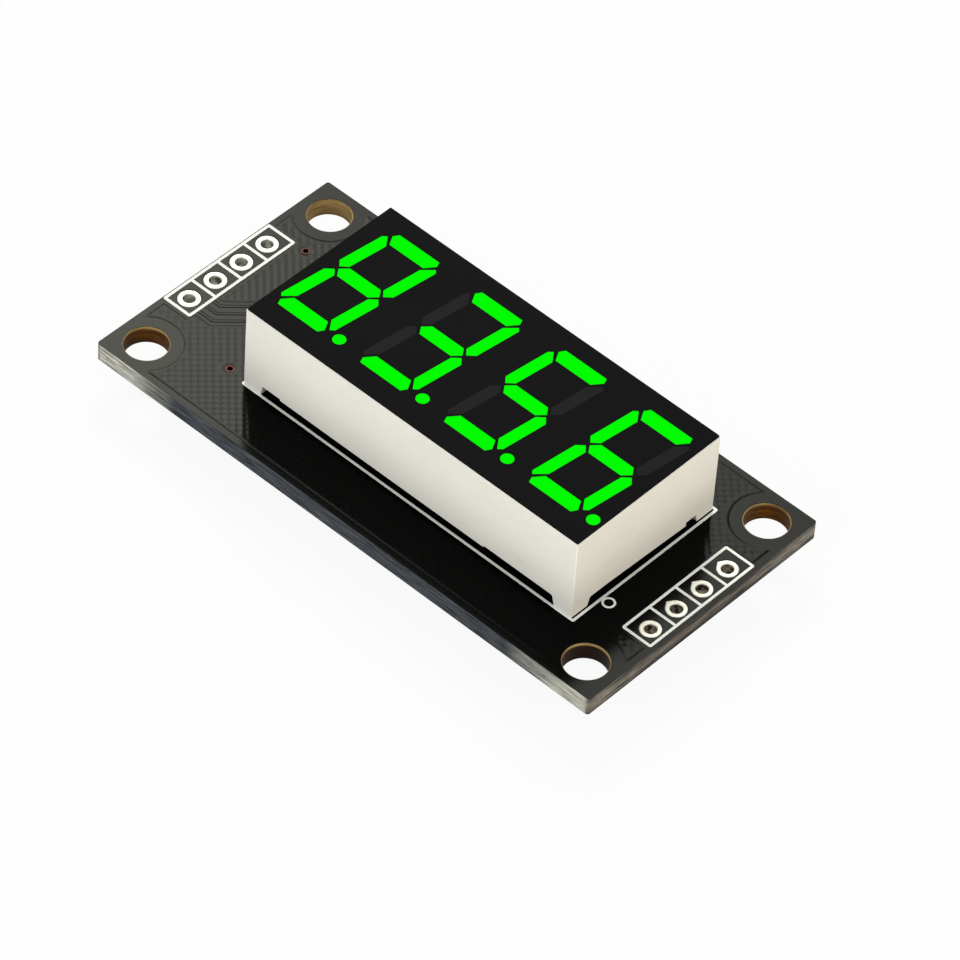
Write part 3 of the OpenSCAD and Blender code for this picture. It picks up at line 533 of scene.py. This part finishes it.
def obround_outline(width, length):
    """Distance of a long land's edge at each angle: its straight side, or else its round end."""
    radius = width / 2
    straight = (length - width) / 2

    def edge(angle):
        across, along = np.abs(np.cos(angle)), np.abs(np.sin(angle))
        beside = across * straight > along * radius
        root = np.sqrt(np.maximum(radius ** 2 - (straight * across) ** 2, 0))
        return np.where(beside, radius / np.maximum(across, 1e-9), straight * along + root)
    return edge


def carried_round(place, edge, reach, share, height, steps=96):
    """A closed profile carried once round a place. A point of the profile lies at reach, plus its share of
    the way from there to the outline's edge at that angle, and at its height."""
    angle = np.linspace(0, 2 * math.pi, steps, endpoint=False)[:, None]
    r = reach + share * (edge(angle) - reach)
    points = np.stack([place[0] + r * np.cos(angle), place[1] + r * np.sin(angle),
                       np.broadcast_to(height, r.shape)], -1).reshape(-1, 3) * MM
    return points, outward(points, grid_faces(steps, len(height), True, True))


def land_profile(bore, top_power, foot_power):
    """Profile of a plated hole: its wall, a domed land on top, the plating's outer side and the land below.
    A dome's height is the land's thickness times the square root of 1 - |2s - 1| ** power."""
    s = (1 - np.cos(np.linspace(0, math.pi, 15))) / 2
    top = LAND_T * np.sqrt(1 - np.abs(2 * s - 1) ** top_power)
    foot = LAND_T * np.sqrt(1 - np.abs(2 * s - 1) ** foot_power)
    reach = np.concatenate([np.full(15, bore), [bore + PLATING] * 2, np.full(15, bore)])
    share = np.concatenate([s, [0, 0], s[::-1]])
    height = np.concatenate([top, [0, -BOARD_T], -BOARD_T - foot[::-1]])
    return reach, share, height


def joint_profile():
    """Profile of the solder round a pin, under the board: the pin's seat, a concave flank and the hole's
    fill. The flank's height at share s is CONE_H * (1 - s) ** 2.6, on a coat with a round edge, which is
    COAT_T * sqrt(1 - s ** 8) high."""
    s = np.linspace(0, 1, 25)
    flank = LAND_T + COAT_T * np.sqrt(1 - s ** 8) + CONE_H * (1 - s) ** 2.6
    seat, fill = PIN_R + SEAT_GAP, PIN_HOLE_R - SEAT_GAP
    reach = np.concatenate([[seat] * 2, np.full(25, TIP_R), [fill] * 2])
    share = np.concatenate([[0, 0], s, [0, 0]])
    depth = np.concatenate([[-BOARD_T, flank[0]], flank, [LAND_T, -BOARD_T]])
    return reach, share, -BOARD_T - depth


def joined(shapes):
    """Points and faces of several shapes as one."""
    starts = np.cumsum([0] + [len(points) for points, _ in shapes[:-1]])
    return (np.concatenate([points for points, _ in shapes]),
            np.concatenate([faces + start for (_, faces), start in zip(shapes, starts)]))


def merged_copy(node):
    """A CAD node's mesh as a piece that replaces it, with its doubled points merged and flat faces joined."""
    mesh = frame["nodes"][node].data.copy()
    made = bmesh.new()
    made.from_mesh(mesh)
    bmesh.ops.remove_doubles(made, verts=made.verts, dist=0.0005 * MM)
    bmesh.ops.dissolve_limit(made, angle_limit=math.radians(0.5), verts=made.verts, edges=made.edges)
    bmesh.ops.recalc_face_normals(made, faces=made.faces)
    made.to_mesh(mesh)
    made.free()
    piece = bpy.data.objects.new(node + "_finished", mesh)
    return place_piece(piece, finish_of(node), SLOT_OF[node], node)


def round_edges(piece, width, segments, chosen=None):
    """Bevels the edges that meet at more than 30 degrees, or only those that chosen picks by their ends."""
    bevel = piece.modifiers.new("Rounded edges", "BEVEL")
    bevel.width = width
    bevel.segments = segments
    bevel.use_clamp_overlap = True
    bevel.limit_method = "ANGLE"
    bevel.angle_limit = math.radians(30)
    mesh = piece.data
    if chosen:
        bevel.limit_method = "WEIGHT"
        ends = np.array([[mesh.vertices[v].co for v in edge.vertices] for edge in mesh.edges]) / MM
        weights = mesh.attributes.new("bevel_weight_edge", "FLOAT", "EDGE")
        weights.data.foreach_set("value", chosen(ends).astype(np.float32))
    mesh.polygons.foreach_set("use_smooth", np.full(len(mesh.polygons), True))
    mesh.set_sharp_from_angle(angle=math.radians(30))


def outer_edges(low, high):
    """Picks the edges that lie on one outer side of a box, apart from its foot."""
    tolerance = 0.01

    def chosen(ends):
        near = (np.abs(ends - low) < tolerance) | (np.abs(ends - high) < tolerance)
        return near[:, :, :2].all(axis=1).any(axis=1)
    return chosen


def upright_corners(low, high):
    """Picks the upright edges at the four corners of a box."""
    tolerance = 0.01

    def chosen(ends):
        near = (np.abs(ends - low) < tolerance) | (np.abs(ends - high) < tolerance)
        upright = (np.abs(ends[:, 0, :2] - ends[:, 1, :2]) < tolerance).all(axis=1)
        return near[:, :, :2].all(axis=(1, 2)) & upright
    return chosen


def apply_finishes(finishes):
    """Puts each finish on the nodes whose slot it is for."""
    for node, slot in SLOT_OF.items():
        if slot not in finishes:
            continue
        piece = frame["nodes"][node]
        if not piece.material_slots:
            piece.data.materials.append(finishes[slot])
        for held in piece.material_slots:
            held.material = finishes[slot]


class FinishBoard(bpy.types.Operator):
    """Gives the laminate, the solder mask, the screen print, the copper and the solder their finishes"""
    bl_idname = "display_module.finish_board"
    bl_label = "Finish Board"

    def execute(self, context):
        settings = context.scene.display_module_board
        apply_finishes({
            "laminate": glass_fibre_laminate(),
            "black_lacquer": solder_mask(settings),
            "white_ink": screen_ink(settings),
            "tinned_copper": hot_tinned_copper(),
            "covered_copper": covered_copper(),
            "solder": bright_solder(),
        })
        return {"FINISHED"}


class FinishDisplay(bpy.types.Operator):
    """Gives the display's housing, film, windows and inner pieces their finishes"""
    bl_idname = "display_module.finish_display"
    bl_label = "Finish Display"

    def execute(self, context):
        settings = context.scene.display_module_display
        apply_finishes({
            "white_housing": moulded_housing(settings),
            "black_film": printed_film(settings),
            "lit_resin": diffusing_resin("lit_diffusing_resin", settings.lit, True),
            "dark_resin": diffusing_resin("unlit_diffusing_resin", settings.unlit, False),
            "carrier_laminate": plain_laminate(),
            "light_chip": chip_crystal(),
            "seal_resin": cast_seal(),
        })
        return {"FINISHED"}


class FinishParts(bpy.types.Operator):
    """Gives the driver, the chip parts and the pins under the board their finishes"""
    bl_idname = "display_module.finish_parts"
    bl_label = "Finish Parts"

    def execute(self, context):
        apply_finishes({
            "tinned_wire": tin_plate(),
            "moulded_epoxy": moulded_epoxy(),
            "white_ceramic": fired_alumina(),
            "dark_glaze": resistor_glaze(),
            "tan_ceramic": fired_dielectric(),
        })
        return {"FINISHED"}


def replace_node(node, name, shapes):
    """Makes one piece of the shapes in place of the node."""
    piece = new_piece(name, *joined(shapes), finish_of(node), SLOT_OF[node])
    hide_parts(node)


class TinLands(bpy.types.Operator):
    """Replaces the lands of plated holes with domed, hot tinned ones"""
    bl_idname = "display_module.tin_lands"
    bl_label = "Tin Lands"

    def execute(self, context):
        for side, places in HEADER_ROWS.items():
            profile = land_profile(HEADER_R, 2.6, 2.6)
            replace_node(f"header_lands_{side}", f"tinned_header_lands_{side}", [
                carried_round(place, drop_outline(LAND_D[side] / 2, drop), *profile)
                for place, drop in zip(places, DROPS[side])])
        replace_node("vias", "plated_vias", [
            carried_round(place, drop_outline(VIA_RING_R, 0), *land_profile(VIA_R, 2.6, 2.6), steps=64)
            for place in VIAS])
        replace_node("display_pin_lands", "tinned_pin_lands", [
            carried_round(place, obround_outline(*PIN_LAND), *land_profile(PIN_HOLE_R, 4, 12))
            for place in PINS])
        return {"FINISHED"}


class SolderPins(bpy.types.Operator):
    """Replaces the solder on the display's pins with smooth concave joints"""
    bl_idname = "display_module.solder_pins"
    bl_label = "Solder Pins"

    def execute(self, context):
        coated = obround_outline(*(PIN_LAND - 2 * COAT_EDGE))
        replace_node("display_pin_joints", "wetted_pin_joints", [
            carried_round(place, coated, *joint_profile()) for place in PINS])
        return {"FINISHED"}


class RoundBoard(bpy.types.Operator):
    """Replaces the laminate and its solder mask with copies whose corners are rounded"""
    bl_idname = "display_module.round_board"
    bl_label = "Round Board"

    def execute(self, context):
        radius = context.scene.display_module_board.corner_radius
        for node in ("laminate", "solder_mask_top", "solder_mask_bottom"):
            round_edges(merged_copy(node), radius, 4, upright_corners(*box_mm(node)))
        return {"FINISHED"}


class RoundDisplay(bpy.types.Operator):
    """Replaces the housing and the film with copies whose outer edges are rounded"""
    bl_idname = "display_module.round_display"
    bl_label = "Round Display"

    def execute(self, context):
        settings = context.scene.display_module_display
        round_edges(merged_copy("display_housing"), settings.edge_radius, 3,
                    outer_edges(DISPLAY_LOW, DISPLAY_HIGH))
        round_edges(merged_copy("display_face"), settings.film_radius, 2, outer_edges(FACE_LOW, FACE_HIGH))
        return {"FINISHED"}


# Rounding in millimetres of the pieces under the board
ROUNDED = {
    "driver_body": 0.1, "driver_leads": 0.035, "driver_joints": 0.06, "display_pins": 0.07,
    "resistor_bodies": 0.03, "resistor_end_caps": 0.01, "capacitor_bodies": 0.04, "capacitor_end_caps": 0.01,
    "chip_part_joints": 0.06,
}


class RoundParts(bpy.types.Operator):
    """Replaces the driver, the chip parts and their solder with copies whose edges are rounded"""
    bl_idname = "display_module.round_parts"
    bl_label = "Round Parts"

    def execute(self, context):
        for node, width in ROUNDED.items():
            round_edges(merged_copy(node), width * MM, 3)
        return {"FINISHED"}


# The copper under the lacquer, in millimetres: where the grid ends, and the tracks' routes
GRID_INSET = 0.46
HOLE_KEEP_OUT = 2.5
HEADER_KEEP_OUT = (1.3, 5.3)
UNDER_HOUSING = (14.2, 6.2)
TRACK_GAP = 0.22
GRID_FADE = 0.18
GRID_RIM = 0.25
CELL_STEPS = 4
CELL_POWER = 0.5
SHEET_SINK = 0.0015
# The first points lie under the line of the left header's printed box
TOP_TRACKS = [
    [(-20.05, -4.2), (-18.6, -4.2), (-12.6, 1.8)],
    [(-20.05, -3.5), (-18.9, -3.5), (-12.6, 2.8)],
    [(-20.05, -2.8), (-19.2, -2.8), (-12.6, 3.8)],
]
LEAD_X = (DRIVER_LOW[0], DRIVER_HIGH[0])
LEAD_PITCH = 1.27


def from_leads():
    """Tracks from the driver's inner leads on the right to the first four pins of each row: along X from a
    lead, and then at 45 degrees to the middle of a pin's land."""
    tracks = []
    for way in (-1, 1):
        row = DISPLAY_MIDDLE[1] + way * (PIN_ROWS - PIN_LAND[1]) / 2
        for k in range(4):
            lead_y = way * (3.5 - k) * LEAD_PITCH
            pin_x = PINS[k][0]
            turn = pin_x - abs(row - lead_y)
            if k == 0:
                tracks.append([(LEAD_X[1], lead_y), (pin_x, lead_y)])
            else:
                tracks.append([(LEAD_X[1], lead_y), (turn, lead_y), (pin_x, row)])
    return tracks


def from_header():
    """Tracks from the left header row to the driver's leads: out of a land, at 45 degrees, and into a lead."""
    tracks = []
    for (x, y), lead in zip(HEADER_ROWS["left"], (-2.5, -0.5, 0.5, 2.5)):
        start = x + LAND_D["left"] / 2
        lead_y = lead * LEAD_PITCH
        turn = start + 0.9 - abs(y - lead_y)
        tracks.append([(start, y), (turn, y), (start + 0.9, lead_y), (LEAD_X[0], lead_y)])
    return tracks


BOTTOM_TRACKS = from_leads() + from_header()


def smooth_share(value):
    """Goes from 0 to 1 with the value, level at both ends: 3v^2 - 2v^3."""
    v = np.clip(value, 0, 1)
    return v * v * (3 - 2 * v)


def outside_box(x, y, middle, half):
    """Distance from each point to the outside of a box, less than zero inside it."""
    dx = np.abs(x - middle[0]) - half[0]
    dy = np.abs(y - middle[1]) - half[1]
    return np.hypot(np.maximum(dx, 0), np.maximum(dy, 0)) + np.minimum(np.maximum(dx, dy), 0)


def from_path(x, y, path):
    """Distance from each point to the nearest stretch of a path."""
    nearest = np.full(x.shape, np.inf)
    for (ax, ay), (bx, by) in zip(path, path[1:]):
        along = np.array([bx - ax, by - ay])
        share = np.clip(((x - ax) * along[0] + (y - ay) * along[1]) / (along @ along), 0, 1)
        nearest = np.minimum(nearest, np.hypot(x - ax - share * along[0], y - ay - share * along[1]))
    return nearest


def room_on_board(x, y, tracks, track_width):
    """Distance from each point to where the copper grid ends: the board's edge, the mounting holes, the
    vias, the header rows and the tracks."""
    room = np.minimum(BOARD_HIGH[0] - np.abs(x), BOARD_HIGH[1] - np.abs(y)) - GRID_INSET
    hole = np.hypot(np.abs(x) - HOLE_SPACING[0] / 2, np.abs(y) - HOLE_SPACING[1] / 2)
    room = np.minimum(room, hole - HOLE_KEEP_OUT)
    for via in VIAS:
        room = np.minimum(room, np.hypot(x - via[0], y - via[1]) - VIA_RING_R)
    for side in (-1, 1):
        room = np.minimum(room, outside_box(x, y, (side * HEADER_X, 0), HEADER_KEEP_OUT))
    for path in tracks:
        room = np.minimum(room, from_path(x, y, path) - track_width / 2 - TRACK_GAP)
    return room


def room_on_top(x, y, track_width):
    """The same on the top face, where the grid under the housing is left out."""
    return np.minimum(room_on_board(x, y, TOP_TRACKS, track_width),
                      outside_box(x, y, DISPLAY_MIDDLE, UNDER_HOUSING))


def room_below(x, y, track_width):
    """The same on the underside, round the driver, the pins' lands and the chip parts."""
    room = room_on_board(x, y, BOTTOM_TRACKS, track_width)
    gap = TRACK_GAP
    driver = (DRIVER_LOW + DRIVER_HIGH)[:2] / 2
    room = np.minimum(room, outside_box(x, y, driver, (DRIVER_HIGH - DRIVER_LOW)[:2] / 2 + gap))
    half = PIN_LAND / 2 + gap
    for pin in PINS:
        room = np.minimum(room, outside_box(x, y, pin, half))
    low, high = box_mm("chip_part_joints")
    return np.minimum(room, outside_box(x, y, (low + high)[:2] / 2, (high - low)[:2] / 2 + gap))


def grid_relief(name, pitch, rise, level, way, room_at, material):
    """A lacquered copper grid, its lines at 45 degrees to the board. The height over a point is
    rise * (1 - (sin^2 of the first diagonal * sin^2 of the second) ** CELL_POWER), so it dips in each cell.
    It has no dips in its rim, and it fades to nothing at the grid's end. Points just past the end are drawn back to it, against the slope of
    room_at."""
    step = pitch / CELL_STEPS
    reach = int((BOARD_HIGH[0] + BOARD_HIGH[1]) / math.sqrt(2) / step) + 1
    i, j = np.meshgrid(np.arange(-reach, reach + 1), np.arange(-reach, reach + 1), indexing="ij")
    x = (i + j) * step / math.sqrt(2)
    y = (i - j) * step / math.sqrt(2)
    room = room_at(x, y)
    probe = step / 8
    slope_x = (room_at(x + probe, y) - room_at(x - probe, y)) / (2 * probe)
    slope_y = (room_at(x, y + probe) - room_at(x, y - probe)) / (2 * probe)
    past = np.minimum(room, 0)
    cell = (np.sin(math.pi * i / CELL_STEPS) * np.sin(math.pi * j / CELL_STEPS)) ** 2
    dip = cell ** CELL_POWER * smooth_share((room - GRID_RIM) / GRID_FADE)
    height = rise * (1 - dip) * smooth_share(room / GRID_FADE) - SHEET_SINK
    faces = grid_faces(*x.shape, False, False)
    corner_room = room.ravel()[faces]
    faces = faces[(corner_room > -step).all(axis=1) & (corner_room > 0).any(axis=1)]
    used, faces = np.unique(faces, return_inverse=True)
    faces = faces.reshape(-1, 4)
    points = np.stack([x - past * slope_x, y - past * slope_y, level + way * height], -1)
    points = points.reshape(-1, 3)[used] * MM
    if way < 0:
        faces = faces[:, ::-1]
    piece = new_piece(name, points, faces, material, "black_lacquer")
    body = piece.modifiers.new("Lacquer body", "SOLIDIFY")
    body.thickness = 0.01 * MM
    body.offset = -1
    return piece


def track_ribbon(path, width, rise, level, way):
    """A flat topped ridge carried along a path. The profile is rise * (1 - cos(angle) ** 4) high over its
    flat foot, at a bend it lies on the line that halves the corner, and at each end it shrinks to a point."""
    path = np.array(path, float)
    along = np.diff(path, axis=0)
    along /= np.linalg.norm(along, axis=1)[:, None]
    side = np.stack([-along[:, 1], along[:, 0]], -1)
    halves = np.concatenate([side[:1], side[:-1] + side[1:], side[-1:]])
    halves /= np.linalg.norm(halves, axis=1)[:, None]
    widths = 1 / np.einsum("ij,ij->i", halves, np.concatenate([side[:1], side]))
    widths = np.concatenate([[0], widths, [0]])
    path = np.concatenate([path[:1], path, path[-1:]])
    halves = np.concatenate([halves[:1], halves, halves[-1:]])
    angle = np.linspace(0, math.pi, 13)
    across = width / 2 * np.cos(angle)
    height = rise * (1 - np.cos(angle) ** 4) * np.minimum(widths, 1)[:, None] - SHEET_SINK
    flat = path[:, None, :] + halves[:, None, :] * (widths[:, None] * across)[:, :, None]
    points = np.concatenate([flat, (level + way * height)[:, :, None]], -1).reshape(-1, 3) * MM
    return points, outward(points, grid_faces(len(path), len(across), False, True))


class RaiseCopper(bpy.types.Operator):
    """Raises the copper grid and the tracks under the lacquer, on both faces"""
    bl_idname = "display_module.raise_copper"
    bl_label = "Raise Copper"

    def execute(self, context):
        settings = context.scene.display_module_board
        width = settings.track_width / MM
        rise = settings.grid_rise / MM
        for face, level, way, room_at, tracks in (("top", MASK_TOP, 1, room_on_top, TOP_TRACKS),
                                                  ("bottom", MASK_FOOT, -1, room_below, BOTTOM_TRACKS)):
            material = finish_of(f"solder_mask_{face}")
            grid_relief(f"lacquered_grid_{face}", settings.grid_pitch / MM, rise, level, way,
                        lambda x, y: room_at(x, y, width), material)
            ribbons = [track_ribbon(path, width, rise, level, way) for path in tracks]
            new_piece(f"lacquered_tracks_{face}", *joined(ribbons), material, "black_lacquer")
        return {"FINISHED"}


# Where the camera stands in millimetres, and how it is turned: rows are its right, down and forward
CAMERA_PLACE = (193.476, -228.509, 311.339)
CAMERA_TURN = (
    (0.73064761, 0.68082437, 0.05130556),
    (0.52120061, -0.50764405, -0.68603749),
    (-0.44102607, 0.52799214, -0.72575499))


def add_softbox(name, place, size, radiance, tint="#ffffff"):
    """A square area lamp at a place in metres that faces the board's middle. Its power is its radiance times
    pi times its area."""
    lamp = bpy.data.lights.new(name, "AREA")
    lamp.shape = "SQUARE"
    lamp.size = size
    lamp.energy = radiance * math.pi * size ** 2
    lamp.color = linear(tint)[:3]
    holder = bpy.data.objects.new(name, lamp)
    holder.location = place
    holder.rotation_euler = (-holder.location).to_track_quat("-Z", "Y").to_euler()
    bpy.context.scene.collection.objects.link(holder)


def seen_rays(tree):
    """1 for rays that show a backdrop: from the camera, mirrored or let through."""
    path = add_node(tree, "ShaderNodeLightPath")
    either = add_node(tree, "ShaderNodeMath", {"operation": "MAXIMUM"}, {
        0: path.outputs["Is Camera Ray"], 1: path.outputs["Is Glossy Ray"]})
    return add_node(tree, "ShaderNodeMath", {"operation": "MAXIMUM"}, {
        0: either.outputs[0], 1: path.outputs["Is Transmission Ray"]}).outputs[0]


class SetStage(bpy.types.Operator):
    """Sets the floor, the sky, the lamps and the camera"""
    bl_idname = "display_module.set_stage"
    bl_label = "Set Stage"

    def execute(self, context):
        settings = context.scene.display_module_stage
        context.scene.view_settings.view_transform = "Standard"
        self.add_sky(context.scene, settings.sky)
        self.add_floor()
        # The lacquer mirrors the first softbox as a whole, and the second one at the board's left end
        add_softbox("lacquer_softbox", (-0.160, 0.187, 0.254), 0.115, settings.softbox, "#f8f8ee")
        add_softbox("left_softbox", (-0.210, 0.156, 0.250), 0.07, settings.softbox, "#f8f8e4")
        add_softbox("front_fill", (-0.04, -0.42, 0.11), 0.3, settings.fill)
        add_softbox("right_fill", (0.42, -0.04, 0.11), 0.3, settings.fill, "#fff2e2")
        self.add_camera(context.scene, settings.focal_length)
        return {"FINISHED"}

    def add_sky(self, scene, strength):
        """White behind the object, and a plain even light on it."""
        world = bpy.data.worlds.new("studio")
        world.use_nodes = True
        tree = world.node_tree
        tree.nodes.clear()
        level = add_node(tree, "ShaderNodeMapRange", {"To Min": strength, "To Max": 1.0}, {0: seen_rays(tree)})
        sky = add_node(tree, "ShaderNodeBackground", {"Color": (1, 1, 1, 1)}, {"Strength": level.outputs[0]})
        add_node(tree, "ShaderNodeOutputWorld", links={"Surface": sky.outputs[0]})
        scene.world = world

    def add_floor(self):
        """A pale floor that keeps the object's shadow and shows white."""
        half = 1.0
        level = CAD_BOX[0].z
        mesh = bpy.data.meshes.new("floor")
        mesh.from_pydata([(-half, -half, level), (half, -half, level), (half, half, level), (-half, half, level)],
                         [], [(0, 1, 2, 3)])
        floor = bpy.data.objects.new("floor", mesh)
        bpy.context.scene.collection.objects.link(floor)
        material = bpy.data.materials.new("white_paper_floor")
        material.use_nodes = True
        tree = material.node_tree
        tree.nodes.clear()
        paper = add_node(tree, "ShaderNodeBsdfDiffuse", {"Color": linear("#e6e6e6")})
        white = add_node(tree, "ShaderNodeEmission", {"Color": (1, 1, 1, 1), "Strength": 1.0})
        share = add_node(tree, "ShaderNodeMath", {"operation": "MULTIPLY", 1: 0.92}, {0: seen_rays(tree)})
        mixed = add_node(tree, "ShaderNodeMixShader", links={
            0: share.outputs[0], 1: paper.outputs[0], 2: white.outputs[0]})
        add_node(tree, "ShaderNodeOutputMaterial", links={"Surface": mixed.outputs[0]})
        mesh.materials.append(material)

    def add_camera(self, scene, focal_length):
        """A long lens at the photograph's viewpoint."""
        lens = bpy.data.cameras.new("camera")
        lens.lens = focal_length
        lens.sensor_width = 36
        lens.clip_start = 0.01
        lens.clip_end = 10
        camera = bpy.data.objects.new("camera", lens)
        right, down, forward = (Vector(row) for row in CAMERA_TURN)
        turn = Matrix((right, -down, -forward)).transposed().to_4x4()
        camera.matrix_world = Matrix.Translation(Vector(CAMERA_PLACE) * MM) @ turn
        scene.collection.objects.link(camera)
        scene.camera = camera


STEPS = (FinishBoard, FinishDisplay, FinishParts, TinLands, SolderPins, RoundBoard, RoundDisplay, RoundParts,
         RaiseCopper, SetStage)
GROUPS = {"board": BoardSettings, "display": DisplaySettings, "stage": StageSettings}


class ModulePanel(bpy.types.Panel):
    """Lists the steps and their settings"""
    bl_idname = "VIEW3D_PT_display_module"
    bl_label = "Display Module"
    bl_space_type = "VIEW_3D"
    bl_region_type = "UI"
    bl_category = "Display Module"

    def draw(self, context):
        for group in GROUPS:
            held = getattr(context.scene, f"display_module_{group}")
            for name in held.bl_rna.properties.keys():
                if name not in ("rna_type", "name"):
                    self.layout.prop(held, name)
        for step in STEPS:
            self.layout.operator(step.bl_idname)


def register():
    for kind in (*GROUPS.values(), *STEPS, ModulePanel):
        bpy.utils.register_class(kind)
    for name, group in GROUPS.items():
        setattr(bpy.types.Scene, f"display_module_{name}", PointerProperty(type=group))


def unregister():
    for name in GROUPS:
        delattr(bpy.types.Scene, f"display_module_{name}")
    for kind in reversed((*GROUPS.values(), *STEPS, ModulePanel)):
        bpy.utils.unregister_class(kind)


def main():
    """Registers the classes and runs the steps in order."""
    register()
    for step in STEPS:
        family, name = step.bl_idname.split(".")
        getattr(getattr(bpy.ops, family), name)()


if __name__ == "__main__":
    main()
